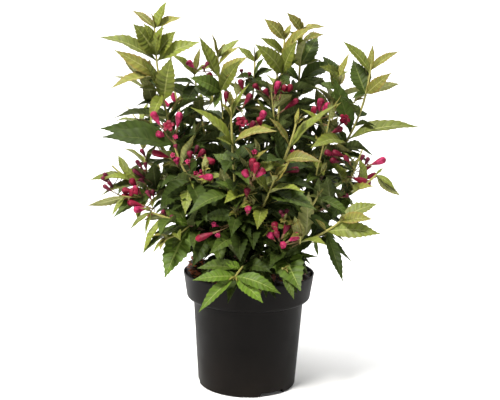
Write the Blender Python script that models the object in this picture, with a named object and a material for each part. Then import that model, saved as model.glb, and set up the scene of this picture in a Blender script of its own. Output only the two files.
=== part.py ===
# A flowering weigela shrub in its round nursery pot.
# One short woody stem stands in the compost. Tapering canes leave its domed top, and each
# cane ends where the masses of foliage that it carries begin. A mass is one solid: a leading
# shoot with its side twigs, leaves in crossed pairs and club-shaped flower buds.
# The origin is the centre of the pot's underside, +X is right and -Y is the front.

import math
import random

import bmesh
import bpy
from mathutils import Quaternion, Vector
from mathutils.bvhtree import BVHTree

MM = 0.001
CLEAR = 0.35 * MM
WELD = 0.002 * MM
FLAT_ANGLE = math.radians(0.8)
HANDFUL = 6

# Pot
POT_HEIGHT = 167 * MM
RIM_RADIUS = 95 * MM
COLLAR_BOTTOM = 128 * MM
COLLAR_RADIUS = 90 * MM
COLLAR_ROUND = 6 * MM
NECK_RADIUS = 80 * MM
BASE_RADIUS = 71.4 * MM
BASE_ROUND = 3 * MM
POT_WALL = 2 * MM
FOOT_RING = 5 * MM
FOOT_HEIGHT = 6.2 * MM
FLOOR_TOP = 8.5 * MM
BOSS_RADIUS = 24 * MM
POT_SIDES = 40
NOTCHES = 3
FIRST_NOTCH = math.radians(-58)
NOTCH_LOW_ANGLE = math.radians(18.5)
NOTCH_HIGH_ANGLE = math.radians(14.5)

# Compost
COMPOST_TOP = 159 * MM
COMPOST_HEAP = 5 * MM
COMPOST_FLAT = 19 * MM
COMPOST_SIDES = 20

# Stem and canes
STEM_FLARE = 17 * MM
FLARE_HEIGHT = 5 * MM
STEM_WAIST = 12.5 * MM
STEM_DOME = 13 * MM
DOME_HEIGHT = 10 * MM
STEM_SIDES = 12
CANE_FOOT = 2.9 * MM
CANE_TIP = 2.3 * MM
CANE_SIDES = 5
CANE_STEPS = 5
CANE_HANDLE = 0.35
CANE_RISE = 0.5

# Shoots
LEADER_FOOT = 1.5 * MM
LEADER_STEPS = 6
LEADER_LEAN = 0.35
LEADER_HANDLE = 0.3
TIP_HANDLE = 0.25
TIP_HANDLE_FOR_RISE = 0.05
THREE_SPREAD = 1.3
TWIG_FOOT = 1.3 * MM
TWIG_TIP = 1.1 * MM
TWIG_SIDES = 3
TWIG_BOW = 2 * MM
TWIG_LENGTH = (26 * MM, 44 * MM)
TWIG_LEAF = 0.9
TWIG_AHEAD = 0.7
TWIG_SPREAD = 25
TWIG_RANGE = 0.85
SIDE_SHOOT_BOW = 6 * MM

# Leaves
NODE_STEPS = (6, 28, 60, 94, 126, 158, 190, 220)
LENGTH_AT_NODE = (0.56, 0.84, 1.0, 1.0, 0.98, 0.92, 0.9, 0.86)
OPENING_AT_NODE = (26, 46, 58, 66, 70, 74, 78, 80)
LOWEST_NODE = 0.1
PLACED_APART = 14 * MM
TRIES = (0, 24, -24, 48)
TURN_SPREAD = 14
OPENING_SPREAD = 6
LEAF_SIZES = (0.86, 1.04)
LEAF_WIDTHS = (0.39, 0.53)
LOWEST_AIM = -0.35
DROOP = 0.05
DROOP_FOR_AGE = 0.03
UPRIGHT = 0.8
LEAF_WIDEST = 0.42
LEAF_THICK = 1.3 * MM
LEAF_SLIMNESS = 70
LEAF_FOLD = 0.07
LEAF_ARCH = 0.10
LEAF_SUNK = 0.15 * MM
OWN_CLEAR = 0.16

# Room for the leaves that follow the rule
TALLEST = 551 * MM
FURTHEST_LEFT = -229 * MM
FURTHEST_RIGHT = 238 * MM
LOWEST_TIP = 130 * MM
POT_MARGIN = 4 * MM
TWIG_REACH = 42 * MM
LEAF_REACH = 72 * MM

# Buds
BUD_LENGTH = 30 * MM
BUD_RADIUS = 3.8 * MM
BUD_WIDEST = 0.72
BUD_SIZES = (0.7, 1.1)
BUD_SPLAY = (0.4, 0.9)
BUD_TURN = 0.4
BUD_AIM = Vector((0, -0.25, 0.1))
SPUR_SHORT = 6 * MM
BUD_STEP = 2.5 * MM

# Each cane: its tip in mm, and the compass angle and slope at which it leaves the stem
CANES = {
    "cane_left": ((-72, 8, 248), 172, 42),
    "cane_left_front": ((-50, -42, 226), 222, 26),
    "cane_centre_left": ((-26, 24, 246), 118, 64),
    "cane_centre_back": ((4, 52, 240), 66, 40),
    "cane_centre_front": ((-5, -56, 228), 262, 52),
    "cane_right_centre": ((30, 18, 246), 20, 66),
    "cane_right": ((68, -5, 238), 354, 34),
    "cane_right_front": ((40, -60, 210), 312, 24),
    "cane_front_low": ((2, -60, 188), 272, 16),
    "cane_back_left": ((-54, 62, 232), 132, 24),
    "cane_back_right": ((58, 60, 234), 34, 16),
    "cane_back": ((-3, 76, 212), 96, 16),
}

# Each mass: its cane, the tip of its leading shoot in mm, how steeply that tip rises,
# the longest leaf in mm, and the turn in degrees of the topmost leaf pair from the X axis
MASSES = {
    "left_leader": ("cane_left", (-141, 16, 511), 6.0, 80, 8),
    "left_sprays": ("cane_left", (-196, -18, 318), 0.5, 68, 20),
    "left_front": ("cane_left_front", (-104, -62, 352), 0.9, 62, 60),
    "left_low": ("cane_left_front", (-134, -72, 262), 0.1, 66, 80),
    "centre_left": ("cane_centre_left", (-52, 42, 474), 1.0, 66, 20),
    "left_back": ("cane_centre_left", (-88, 82, 446), 0.9, 58, 50),
    "centre_back": ("cane_centre_back", (2, 92, 468), 1.0, 56, 10),
    "back_centre": ("cane_centre_back", (38, 140, 452), 0.9, 68, 40),
    "centre_front": ("cane_centre_front", (-28, -112, 408), 1.0, 78, 12),
    "front_right": ("cane_centre_front", (56, -118, 388), 0.9, 82, 24),
    "right_centre": ("cane_right_centre", (44, 34, 502), 1.0, 66, 12),
    "right_centre_twin": ("cane_right_centre", (71, 60, 512), 1.0, 62, 30),
    "right_leader": ("cane_right", (166, 4, 468), 5.0, 86, 6),
    "right_side": ("cane_right", (172, -52, 318), 0.4, 70, 70),
    "right_low": ("cane_right_front", (118, -112, 262), 0.4, 80, 16),
    "right_mid": ("cane_right_front", (88, -98, 292), 0.7, 66, 50),
    "front_low": ("cane_front_low", (-18, -118, 186), -0.2, 66, 2),
    "front_low_right": ("cane_front_low", (46, -108, 196), 0.1, 60, 70),
    "front_middle": ("cane_centre_front", (-20, -96, 268), 0.6, 74, 30),
    "back_left": ("cane_back_left", (-122, 128, 424), 0.9, 74, 30),
    "back_left_low": ("cane_back_left", (-148, 122, 296), 0.3, 70, 60),
    "back_right": ("cane_back_right", (128, 116, 436), 0.9, 74, 50),
    "back_right_low": ("cane_back_right", (158, 104, 300), 0.3, 72, 10),
    "back_low": ("cane_back", (-32, 168, 292), 0.4, 70, 40),
    "back_low_right": ("cane_back", (52, 162, 262), 0.2, 70, 0),
}

# Side shoots that show by themselves: the mass, where on its leading shoot they start
# (0 to 1), their tip in mm, the longest leaf in mm and the turn of the topmost pair
SIDE_SHOOTS = (
    ("left_leader", 0.30, (-172, 58, 448), 56, 20),
    ("left_leader", 0.12, (-180, 50, 392), 34, 70),
    ("left_sprays", 0.55, (-158, 16, 344), 60, 10),
    ("left_sprays", 0.45, (-176, -66, 282), 62, 40),
    ("left_front", 0.45, (-62, -84, 322), 60, 15),
    ("left_low", 0.40, (-112, -104, 232), 62, 80),
    ("centre_left", 0.50, (-22, 20, 424), 50, 30),
    ("centre_front", 0.18, (4, -128, 340), 52, 60),
    ("front_right", 0.20, (30, -132, 318), 56, 80),
    ("right_centre", 0.45, (26, 0, 428), 60, 0),
    ("right_leader", 0.30, (126, 40, 456), 44, 30),
    ("right_leader", 0.20, (108, -30, 396), 52, 60),
    ("right_side", 0.55, (150, -60, 352), 60, 20),
    ("right_low", 0.35, (66, -132, 244), 60, 60),
    ("right_mid", 0.40, (44, -120, 262), 50, 20),
)

# Leaves that stand out by themselves: for each mass and shoot (0 is the leading shoot and 1
# its first side shoot), the share of the shoot where the leaf is rooted, its tip in mm, its
# width as a share of its length and the degrees by which it is turned from up to the front
PLACED_LEAVES = {
    ("left_leader", 0): (
        (1.00, (-174, 25, 537), 0.38, 35),
        (1.00, (-146, 5, 534), 0.38, 45),
        (1.00, (-124, 15, 549), 0.56, 60),
        (1.00, (-103, 20, 528), 0.39, 55),
        (0.88, (-168, -5, 515), 0.56, 70),
        (0.88, (-110, 5, 506), 0.41, 55),
        (0.83, (-219, 5, 495), 0.38, 35),
        (0.83, (-77, 10, 493), 0.38, 35),
        (0.75, (-194, -10, 479), 0.38, 35),
        (0.75, (-198, -20, 424), 0.38, -60),
        (0.66, (-115, -5, 471), 0.50, 75),
        (0.66, (-153, -8, 465), 0.42, 50),
        (0.66, (-162, -5, 427), 0.38, 45),
        (0.66, (-141, -30, 381), 0.50, 60),
    ),
    ("left_back", 0): (
        (1.00, (-123, 70, 477), 0.38, 45),
        (1.00, (-81, 85, 488), 0.38, 40),
        (1.00, (-57, 60, 460), 0.45, 55),
        (0.93, (-128, 50, 433), 0.38, 40),
        (0.93, (-102, 45, 400), 0.56, 70),
        (0.93, (-60, 50, 411), 0.56, 70),
        (0.80, (-139, 70, 437), 0.38, -50),
        (0.80, (-104, 50, 379), 0.50, 40),
    ),
    ("centre_left", 0): (
        (1.00, (-61, 35, 510), 0.38, 35),
        (1.00, (-20, 50, 500), 0.39, 55),
        (1.00, (-38, 20, 497), 0.38, 45),
        (0.87, (-78, 25, 501), 0.38, 35),
        (0.87, (-8, 20, 472), 0.38, -65),
        (0.79, (-18, 5, 469), 0.42, 70),
        (0.79, (-90, 10, 443), 0.42, 40),
        (0.79, (-55, 20, 400), 0.50, 50),
    ),
    ("centre_back", 0): (
        (1.00, (-24, 90, 490), 0.39, 55),
        (1.00, (-1, 85, 496), 0.38, 45),
        (1.00, (17, 100, 495), 0.38, 45),
        (0.90, (30, 80, 457), 0.55, 60),
        (0.90, (-27, 80, 443), 0.45, 55),
    ),
    ("right_centre", 0): (
        (1.00, (14, 25, 528), 0.46, 40),
        (1.00, (31, 20, 529), 0.41, 55),
        (1.00, (45, 40, 539), 0.45, 55),
        (0.93, (9, 10, 501), 0.44, 45),
        (0.93, (70, 20, 499), 0.46, 40),
        (0.80, (2, -10, 491), 0.45, 70),
        (0.80, (63, 10, 471), 0.42, 40),
    ),
    ("right_centre_twin", 0): (
        (1.00, (103, 50, 524), 0.39, 55),
        (1.00, (84, 30, 520), 0.42, 40),
        (1.00, (71, 60, 529), 0.38, 45),
        (0.92, (100, 20, 517), 0.50, 45),
        (0.92, (48, 30, 513), 0.46, 40),
        (0.82, (95, 80, 507), 0.56, 75),
        (0.82, (101, 60, 470), 0.50, 40),
        (0.75, (123, 85, 462), 0.42, 40),
        (0.75, (36, 60, 468), 0.42, 50),
    ),
    ("right_leader", 1): (
        (0.93, (139, 35, 484), 0.38, 50),
        (0.93, (100, 45, 478), 0.42, 40),
        (0.93, (94, 10, 463), 0.55, -80),
        (0.93, (137, 20, 457), 0.45, 55),
        (0.84, (107, 20, 467), 0.55, 60),
        (0.84, (95, 40, 438), 0.50, 50),
        (0.84, (114, 30, 409), 0.50, 60),
    ),
    ("right_leader", 0): (
        (0.98, (124, -5, 498), 0.38, 35),
        (0.98, (203, -5, 486), 0.38, 40),
        (0.98, (167, 5, 494), 0.38, 40),
        (0.83, (190, -25, 456), 0.50, 75),
        (0.83, (205, -10, 441), 0.38, -60),
        (0.83, (148, 20, 474), 0.46, 70),
        (0.83, (137, -20, 421), 0.55, 60),
        (0.60, (236, -5, 381), 0.38, 30),
        (0.60, (115, 15, 447), 0.42, 50),
    ),
    ("centre_front", 0): (
        (1.00, (-29, -112, 429), 0.38, 45),
        (1.00, (-21, -118, 420), 0.38, 45),
        (0.92, (-41, -125, 414), 0.46, 50),
        (0.92, (-5, -120, 438), 0.38, 40),
        (0.72, (-78, -130, 407), 0.42, 40),
        (0.72, (31, -140, 380), 0.38, 40),
        (0.72, (-45, -130, 369), 0.45, 55),
    ),
    ("front_right", 0): (
        (0.99, (59, -118, 409), 0.38, 45),
        (0.99, (66, -120, 396), 0.38, 45),
        (0.90, (19, -130, 396), 0.38, 45),
        (0.90, (105, -115, 431), 0.38, 25),
        (0.70, (88, -145, 343), 0.41, 55),
        (0.70, (9, -120, 318), 0.38, -50),
        (0.70, (31, -110, 386), 0.42, 50),
        (0.42, (84, -140, 281), 0.50, 50),
    ),
    ("right_side", 0): (
        (0.83, (79, -80, 355), 0.38, 40),
        (0.83, (146, -60, 341), 0.41, 55),
        (0.95, (181, -50, 329), 0.38, 45),
        (0.95, (198, -60, 305), 0.39, 55),
        (0.95, (205, -60, 291), 0.38, 35),
        (0.63, (165, -80, 305), 0.41, 55),
        (0.63, (140, -60, 263), 0.42, 40),
    ),
    ("right_low", 0): (
        (1.00, (158, -125, 268), 0.39, 55),
        (1.00, (166, -110, 286), 0.48, 40),
        (0.77, (171, -120, 251), 0.38, 30),
        (0.77, (122, -135, 187), 0.42, 40),
        (0.77, (126, -110, 234), 0.38, 25),
        (0.77, (86, -105, 263), 0.38, 45),
        (0.60, (48, -100, 209), 0.56, 60),
        (0.60, (102, -90, 202), 0.42, 40),
    ),
    ("right_mid", 0): (
        (0.10, (78, -108, 190), 0.52, 55),
        (0.10, (18, -112, 186), 0.50, 60),
        (0.99, (76, -110, 294), 0.38, 45),
        (0.99, (131, -110, 268), 0.42, 45),
        (0.70, (116, -90, 233), 0.50, 50),
        (0.70, (45, -100, 292), 0.50, 40),
    ),
    ("front_low", 0): (
        (0.98, (-73, -130, 183), 0.38, 45),
        (0.98, (-64, -140, 143), 0.42, 45),
        (0.98, (19, -142, 158), 0.50, 50),
        (0.98, (42, -136, 169), 0.38, 45),
        (0.98, (-26, -120, 194), 0.38, 45),
        (0.58, (-69, -100, 192), 0.38, 45),
        (0.58, (-32, -100, 201), 0.56, 50),
    ),
    ("front_low_right", 0): (
        (0.98, (68, -130, 172), 0.56, 60),
        (0.98, (60, -125, 159), 0.42, 40),
        (0.37, (16, -100, 211), 0.38, -65),
        (0.37, (3, -115, 179), 0.56, 60),
        (0.37, (43, -105, 230), 0.38, 45),
    ),
    ("left_low", 0): (
        (0.12, (-100, -62, 182), 0.52, 50),
        (0.50, (-113, -95, 175), 0.56, 70),
        (0.40, (-109, -70, 249), 0.50, 50),
        (0.40, (-105, -80, 212), 0.50, 50),
        (0.80, (-144, -75, 251), 0.45, -75),
        (0.80, (-144, -80, 207), 0.38, 40),
        (1.00, (-162, -80, 239), 0.38, 35),
        (1.00, (-142, -75, 231), 0.38, 45),
        (1.00, (-149, -75, 268), 0.38, 45),
    ),
    ("left_sprays", 0): (
        (0.80, (-229, -10, 296), 0.38, 20),
        (0.80, (-192, 10, 330), 0.38, 25),
        (0.60, (-212, -20, 275), 0.38, 20),
        (0.60, (-185, -10, 330), 0.39, 55),
        (0.69, (-228, -40, 263), 0.38, 20),
        (0.48, (-187, -60, 252), 0.38, 45),
    ),
    ("front_middle", 0): (
        (0.30, (-8, -124, 205), 0.50, 55),
        (0.30, (-52, -116, 216), 0.50, 60),
        (0.45, (38, -112, 222), 0.50, 50),
        (0.85, (-64, -112, 262), 0.48, 55),
        (0.85, (24, -120, 250), 0.48, 45),
    ),
    ("left_front", 0): (
        (0.06, (-76, -92, 192), 0.50, 55),
        (0.06, (-36, -104, 198), 0.50, 60),
        (0.20, (-112, -52, 222), 0.50, 45),
        (1.00, (-205, -60, 373), 0.42, 55),
        (1.00, (-199, -80, 363), 0.38, 25),
        (0.62, (-56, -120, 259), 0.42, 40),
        (0.62, (-86, -100, 265), 0.50, 60),
        (0.41, (-115, -90, 286), 0.56, 60),
        (0.41, (-24, -110, 258), 0.42, 50),
    ),
}

# Clusters of buds: the mass, where on its leading shoot the spur starts, the middle of
# the cluster in mm and how many buds it has
CLUSTERS = (
    ("left_front", 0.62, (-116, -66, 376), 2),
    ("left_front", 0.50, (-104, -66, 342), 2),
    ("left_front", 0.30, (-72, -74, 338), 3),
    ("left_front", 0.20, (-58, -72, 312), 2),
    ("left_sprays", 0.70, (-158, 4, 330), 2),
    ("left_sprays", 0.85, (-196, -30, 304), 3),
    ("left_sprays", 0.35, (-152, -48, 268), 3),
    ("centre_left", 0.60, (-22, 18, 418), 2),
    ("centre_front", 0.40, (-8, -96, 374), 3),
    ("centre_front", 0.10, (4, -130, 318), 3),
    ("right_centre", 0.40, (46, -6, 426), 4),
    ("right_centre", 0.15, (22, -18, 388), 3),
    ("right_centre_twin", 0.20, (94, -6, 400), 3),
    ("right_leader", 0.30, (128, -4, 386), 2),
    ("right_side", 0.75, (180, -56, 334), 2),
    ("right_side", 0.45, (122, -40, 338), 2),
    ("right_mid", 0.40, (40, -112, 250), 4),
    ("right_mid", 0.60, (62, -110, 244), 2),
    ("left_low", 0.15, (-56, -96, 246), 2),
    ("front_right", 0.30, (46, -104, 322), 2),
    ("back_left", 0.60, (-120, 140, 392), 2),
    ("back_centre", 0.55, (30, 152, 402), 3),
    ("back_right", 0.55, (134, 128, 394), 2),
    ("back_low", 0.70, (-36, 180, 282), 2),
    ("back_right_low", 0.70, (168, 108, 290), 2),
)


def material(name, colour, roughness):
    """A plain finish with this colour and roughness."""
    finish = bpy.data.materials.new(name)
    finish.use_nodes = True
    shader = finish.node_tree.nodes["Principled BSDF"]
    shader.inputs["Base Color"].default_value = (*colour, 1)
    shader.inputs["Roughness"].default_value = roughness
    finish.diffuse_color = (*colour, 1)
    return finish


def add_object(name, bm, finish):
    """Puts a finished bmesh into the scene as a named object."""
    bmesh.ops.recalc_face_normals(bm, faces=bm.faces)
    mesh = bpy.data.meshes.new(name)
    bm.to_mesh(mesh)
    bm.free()
    thing = bpy.data.objects.new(name, mesh)
    bpy.context.scene.collection.objects.link(thing)
    mesh.materials.append(finish)
    return thing


def lathe(profile, sides):
    """Turns (radius, height) points round the Z axis into a closed body."""
    bm = bmesh.new()
    points = [bm.verts.new((radius, 0, height)) for radius, height in profile]
    edges = [bm.edges.new(pair) for pair in zip(points, points[1:])]
    bmesh.ops.spin(
        bm, geom=points + edges, cent=(0, 0, 0), axis=(0, 0, 1), angle=math.tau, steps=sides
    )
    bmesh.ops.remove_doubles(bm, verts=bm.verts, dist=0.01 * MM)
    return bm


def arc(centre_radius, centre_height, radius, first, last, steps):
    """Points of a round corner in a profile, from one angle in degrees to another."""
    points = []
    for step in range(steps + 1):
        angle = math.radians(first + (last - first) * step / steps)
        across = centre_radius + radius * math.cos(angle)
        points.append((across, centre_height + radius * math.sin(angle)))
    return points


def pot_profile():
    """The pot's wall from the boss under its floor, round the rim and down inside."""
    foot = BASE_RADIUS - FOOT_RING
    points = [(0, 0), (BOSS_RADIUS, 0), (BOSS_RADIUS + 2 * MM, FOOT_HEIGHT)]
    points += [(foot - 1 * MM, FOOT_HEIGHT), (foot, 0)]
    points += arc(BASE_RADIUS - BASE_ROUND, BASE_ROUND, BASE_ROUND, -90, 0, 2)
    points += [(NECK_RADIUS, COLLAR_BOTTOM - 1 * MM)]
    low = COLLAR_BOTTOM + COLLAR_ROUND
    points += arc(COLLAR_RADIUS - COLLAR_ROUND, low, COLLAR_ROUND, -90, 0, 3)
    points += [(RIM_RADIUS - 0.3 * MM, POT_HEIGHT - 3 * MM)]
    points += [(RIM_RADIUS, POT_HEIGHT - 1 * MM), (RIM_RADIUS - 0.7 * MM, POT_HEIGHT)]
    points += [(RIM_RADIUS - POT_WALL, POT_HEIGHT)]
    points += [(COLLAR_RADIUS - POT_WALL, low + 1 * MM)]
    points += [(NECK_RADIUS - POT_WALL, COLLAR_BOTTOM - 1 * MM)]
    points += [(BASE_RADIUS - POT_WALL, FLOOR_TOP + 3 * MM)]
    points += [(BASE_RADIUS - POT_WALL - 3 * MM, FLOOR_TOP), (0, FLOOR_TOP)]
    return points


def notch_cutter(number):
    """The slanted-sided opening in the foot ring that lets water out."""
    middle = FIRST_NOTCH + number * math.tau / NOTCHES
    bm = bmesh.new()
    rings = []
    for radius in (BASE_RADIUS - FOOT_RING - 6 * MM, BASE_RADIUS + 8 * MM):
        for height, half in ((-4 * MM, NOTCH_LOW_ANGLE), (FOOT_HEIGHT - 0.1 * MM, NOTCH_HIGH_ANGLE)):
            for turn in (middle - half, middle + half):
                reach = radius / math.cos(half)
                place = (reach * math.cos(turn), reach * math.sin(turn), height)
                rings.append(bm.verts.new(place))
    for face in ((0, 1, 3, 2), (4, 6, 7, 5), (0, 4, 5, 1), (2, 3, 7, 6), (0, 2, 6, 4), (1, 5, 7, 3)):
        bm.faces.new([rings[corner] for corner in face])
    cutter = add_object(f"notch_cutter_{number + 1}", bm, plastic)
    cutter.hide_render = True
    cutter.display_type = "WIRE"
    return cutter


def make_pot():
    """A thin-walled round pot with a wide collar and three drainage notches."""
    pot = add_object("pot", lathe(pot_profile(), POT_SIDES), plastic)
    pot.data.shade_smooth()
    pot.data.set_sharp_from_angle(angle=math.radians(35))
    for number in range(NOTCHES):
        cut = pot.modifiers.new(f"notch_{number + 1}", "BOOLEAN")
        cut.operation = "DIFFERENCE"
        cut.object = notch_cutter(number)
    return pot


def compost_height(x, y):
    """The height of the heaped surface, flat round the stem and higher by the rim."""
    away = math.hypot(x, y)
    share = min(1, max(0, (away - COMPOST_FLAT) / (70 * MM)))
    ripple = math.sin(x * 170 + 1) * math.cos(y * 150 + 2)
    return COMPOST_TOP + share * COMPOST_HEAP * (0.35 + 0.6 * ripple)


def make_compost():
    """The compost fills the pot and is heaped a little against its collar."""
    gap = 0.4 * MM
    outer = COLLAR_RADIUS - POT_WALL + 3.0 * MM
    profile = [(0, FLOOR_TOP + gap), (BASE_RADIUS - POT_WALL - 3.4 * MM, FLOOR_TOP + gap)]
    profile += [(BASE_RADIUS - POT_WALL - gap, FLOOR_TOP + 3 * MM + gap)]
    profile += [(NECK_RADIUS - POT_WALL - gap, COLLAR_BOTTOM - 0.5 * MM)]
    profile += [(COLLAR_RADIUS - POT_WALL - gap, COLLAR_BOTTOM + COLLAR_ROUND + 1.5 * MM)]
    profile += [(outer - gap, COMPOST_TOP), (66 * MM, COMPOST_TOP), (42 * MM, COMPOST_TOP)]
    profile += [(COMPOST_FLAT, COMPOST_TOP), (0, COMPOST_TOP)]
    bm = lathe(profile, COMPOST_SIDES)
    for vert in bm.verts:
        if vert.co.z > COMPOST_TOP - 1 * MM:
            vert.co.z = compost_height(vert.co.x, vert.co.y)
    return add_object("compost", bm, soil)


def dome_centre():
    """The middle of the ball that caps the stem."""
    return Vector((0, 0, COMPOST_TOP + CLEAR + DOME_HEIGHT))


def make_stem():
    """The short woody foot: a flat cut, a root flare, a waist and a domed top."""
    bottom = COMPOST_TOP + CLEAR
    profile = [(0, bottom), (STEM_FLARE, bottom), (STEM_FLARE - 1.5 * MM, bottom + 1.5 * MM)]
    profile += [(STEM_WAIST, bottom + FLARE_HEIGHT)]
    profile += arc(0, bottom + DOME_HEIGHT, STEM_DOME, 0, 90, 4)[:-1]
    profile += [(0, bottom + DOME_HEIGHT + STEM_DOME)]
    return add_object("stem", lathe(profile, STEM_SIDES), bark)


def bezier(start, first, second, end, steps):
    """Evenly stepped points of one cubic curve."""
    points = []
    for step in range(steps + 1):
        t = step / steps
        s = 1 - t
        place = start * s**3 + first * (3 * s * s * t) + second * (3 * s * t * t) + end * t**3
        points.append(place)
    return points


def tube_mesh(points, radii, sides, grow=0.0):
    """A closed tapering tube round a path."""
    bm = bmesh.new()
    ahead = (points[1] - points[0]).normalized()
    side = ahead.orthogonal().normalized()
    rings = []
    for index, point in enumerate(points):
        after = points[min(index + 1, len(points) - 1)]
        before = points[max(index - 1, 0)]
        turned = (after - before).normalized()
        side = (ahead.rotation_difference(turned) @ side).normalized()
        ahead = turned
        ring = []
        for corner in range(sides):
            spoke = Quaternion(ahead, math.tau * corner / sides) @ side
            ring.append(bm.verts.new(point + spoke * (radii[index] + grow)))
        rings.append(ring)
    for low, high in zip(rings, rings[1:]):
        for corner in range(sides):
            after = (corner + 1) % sides
            bm.faces.new((low[corner], low[after], high[after], high[corner]))
    bm.faces.new(rings[0])
    bm.faces.new(rings[-1])
    bmesh.ops.recalc_face_normals(bm, faces=bm.faces)
    bmesh.ops.triangulate(bm, faces=bm.faces)
    return bm


def tapered(points, foot, tip):
    """Radii that shrink evenly along a path."""
    last = len(points) - 1
    return [foot + (tip - foot) * index / last for index in range(last + 1)]


def cane_path(name):
    """A cane leaves the dome square to it and curves over to its own tip."""
    tip, compass, slope = CANES[name]
    compass, slope = math.radians(compass), math.radians(slope)
    level = math.cos(slope)
    out = Vector((level * math.cos(compass), level * math.sin(compass), math.sin(slope)))
    start = dome_centre() + out * (STEM_DOME + CLEAR)
    end = Vector(tip) * MM
    span = (end - start).length * CANE_HANDLE
    rising = (end - start).normalized() + Vector((0, 0, CANE_RISE))
    return bezier(start, start + out * span, end - rising.normalized() * span, end, CANE_STEPS)


def leader_path(name):
    """The leading shoot of a mass starts on its cane's end face, beside its neighbours."""
    cane, tip, rise, _, _ = MASSES[name]
    path = cane_path(cane)
    ahead = (path[-1] - path[-2]).normalized()
    neighbours = [mass for mass in MASSES if MASSES[mass][0] == cane]
    end = Vector(tip) * MM
    start = path[-1] + ahead * CLEAR
    if len(neighbours) > 1:
        middle = sum((Vector(MASSES[mass][1]) for mass in neighbours), Vector()) / len(neighbours)
        apart = end - middle * MM
        apart = (apart - ahead * apart.dot(ahead)).normalized()
        start += apart * (LEADER_FOOT + CLEAR) * (1 if len(neighbours) == 2 else THREE_SPREAD)
        ahead = (ahead + apart * LEADER_LEAN).normalized()
    length = (end - start).length
    rising = ((end - start).normalized() + Vector((0, 0, rise))).normalized()
    first = start + ahead * length * LEADER_HANDLE
    second = end - rising * length * (TIP_HANDLE + TIP_HANDLE_FOR_RISE * rise)
    return bezier(start, first, second, end, LEADER_STEPS)


def along(path, share):
    """The place and direction at a share of a path's length."""
    lengths = [(b - a).length for a, b in zip(path, path[1:])]
    goal = min(max(share, 0), 1) * sum(lengths)
    for index, length in enumerate(lengths):
        if goal <= length or index == len(lengths) - 1:
            step = path[index + 1] - path[index]
            return path[index] + step * min(1, goal / length), step.normalized()
        goal -= length


def path_length(path):
    """How long a path is from end to end."""
    return sum((b - a).length for a, b in zip(path, path[1:]))


def leaf_mesh(root, tip, width, up, grow=0.0):
    """A folded, arching blade of eight faces that meet in a point at its root and its tip."""
    bm = bmesh.new()
    line = tip - root
    length = line.length
    ahead = line.normalized()
    side = ahead.cross(up).normalized()
    top = side.cross(ahead).normalized()
    half = width / 2 + grow
    thick = max(LEAF_THICK, length / LEAF_SLIMNESS) / 2 + grow
    middle = root + line * LEAF_WIDEST + top * (length * LEAF_ARCH)
    lifted = top * (length * LEAF_FOLD)
    foot = bm.verts.new(root)
    left = bm.verts.new(middle - side * half + lifted)
    right = bm.verts.new(middle + side * half + lifted)
    upper = bm.verts.new(middle + top * thick)
    lower = bm.verts.new(middle - top * thick)
    end = bm.verts.new(tip + ahead * grow)
    for face in (
        (foot, left, upper),
        (upper, left, end),
        (foot, upper, right),
        (upper, end, right),
        (foot, lower, left),
        (lower, end, left),
        (foot, right, lower),
        (lower, right, end),
    ):
        bm.faces.new(face)
    return bm


def bud_mesh(root, ahead, length, radius, grow=0.0):
    """A club-shaped bud: a slim tube that swells towards its blunt end."""
    bm = bmesh.new()
    ahead = ahead.normalized()
    side = ahead.orthogonal().normalized()
    foot = bm.verts.new(root)
    end = bm.verts.new(root + ahead * (length + grow))
    ring = []
    for corner in range(3):
        spoke = Quaternion(ahead, math.tau * corner / 3) @ side
        ring.append(bm.verts.new(root + ahead * length * BUD_WIDEST + spoke * (radius + grow)))
    for corner in range(3):
        after = (corner + 1) % 3
        bm.faces.new((foot, ring[after], ring[corner]))
        bm.faces.new((end, ring[corner], ring[after]))
    bmesh.ops.recalc_face_normals(bm, faces=bm.faces)
    return bm


class Space:
    """What already stands: limbs, the leading shoots of every mass, and finished masses."""

    def __init__(self):
        self.limbs = []
        self.shoots = {}
        self.masses = {}

    def is_free(self, shape, mass):
        """Whether a slightly grown shape keeps clear of all that isn't its own mass."""
        tree = BVHTree.FromBMesh(shape)
        if any(tree.overlap(limb) for limb in self.limbs):
            return False
        for others in (self.shoots, self.masses):
            for name, trees in others.items():
                if name != mass and any(tree.overlap(other) for other in trees):
                    return False
        return True


def stays_inside(tip, path, reach):
    """Whether a tip keeps to the mass's own space and above the pot."""
    if tip.z > TALLEST or tip.x < FURTHEST_LEFT or tip.x > FURTHEST_RIGHT:
        return False
    away = math.hypot(tip.x, tip.y)
    if away < RIM_RADIUS + POT_MARGIN and tip.z < POT_HEIGHT + POT_MARGIN:
        return False
    if tip.z < LOWEST_TIP:
        return False
    return min((tip - place).length for place in path) < reach


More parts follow.
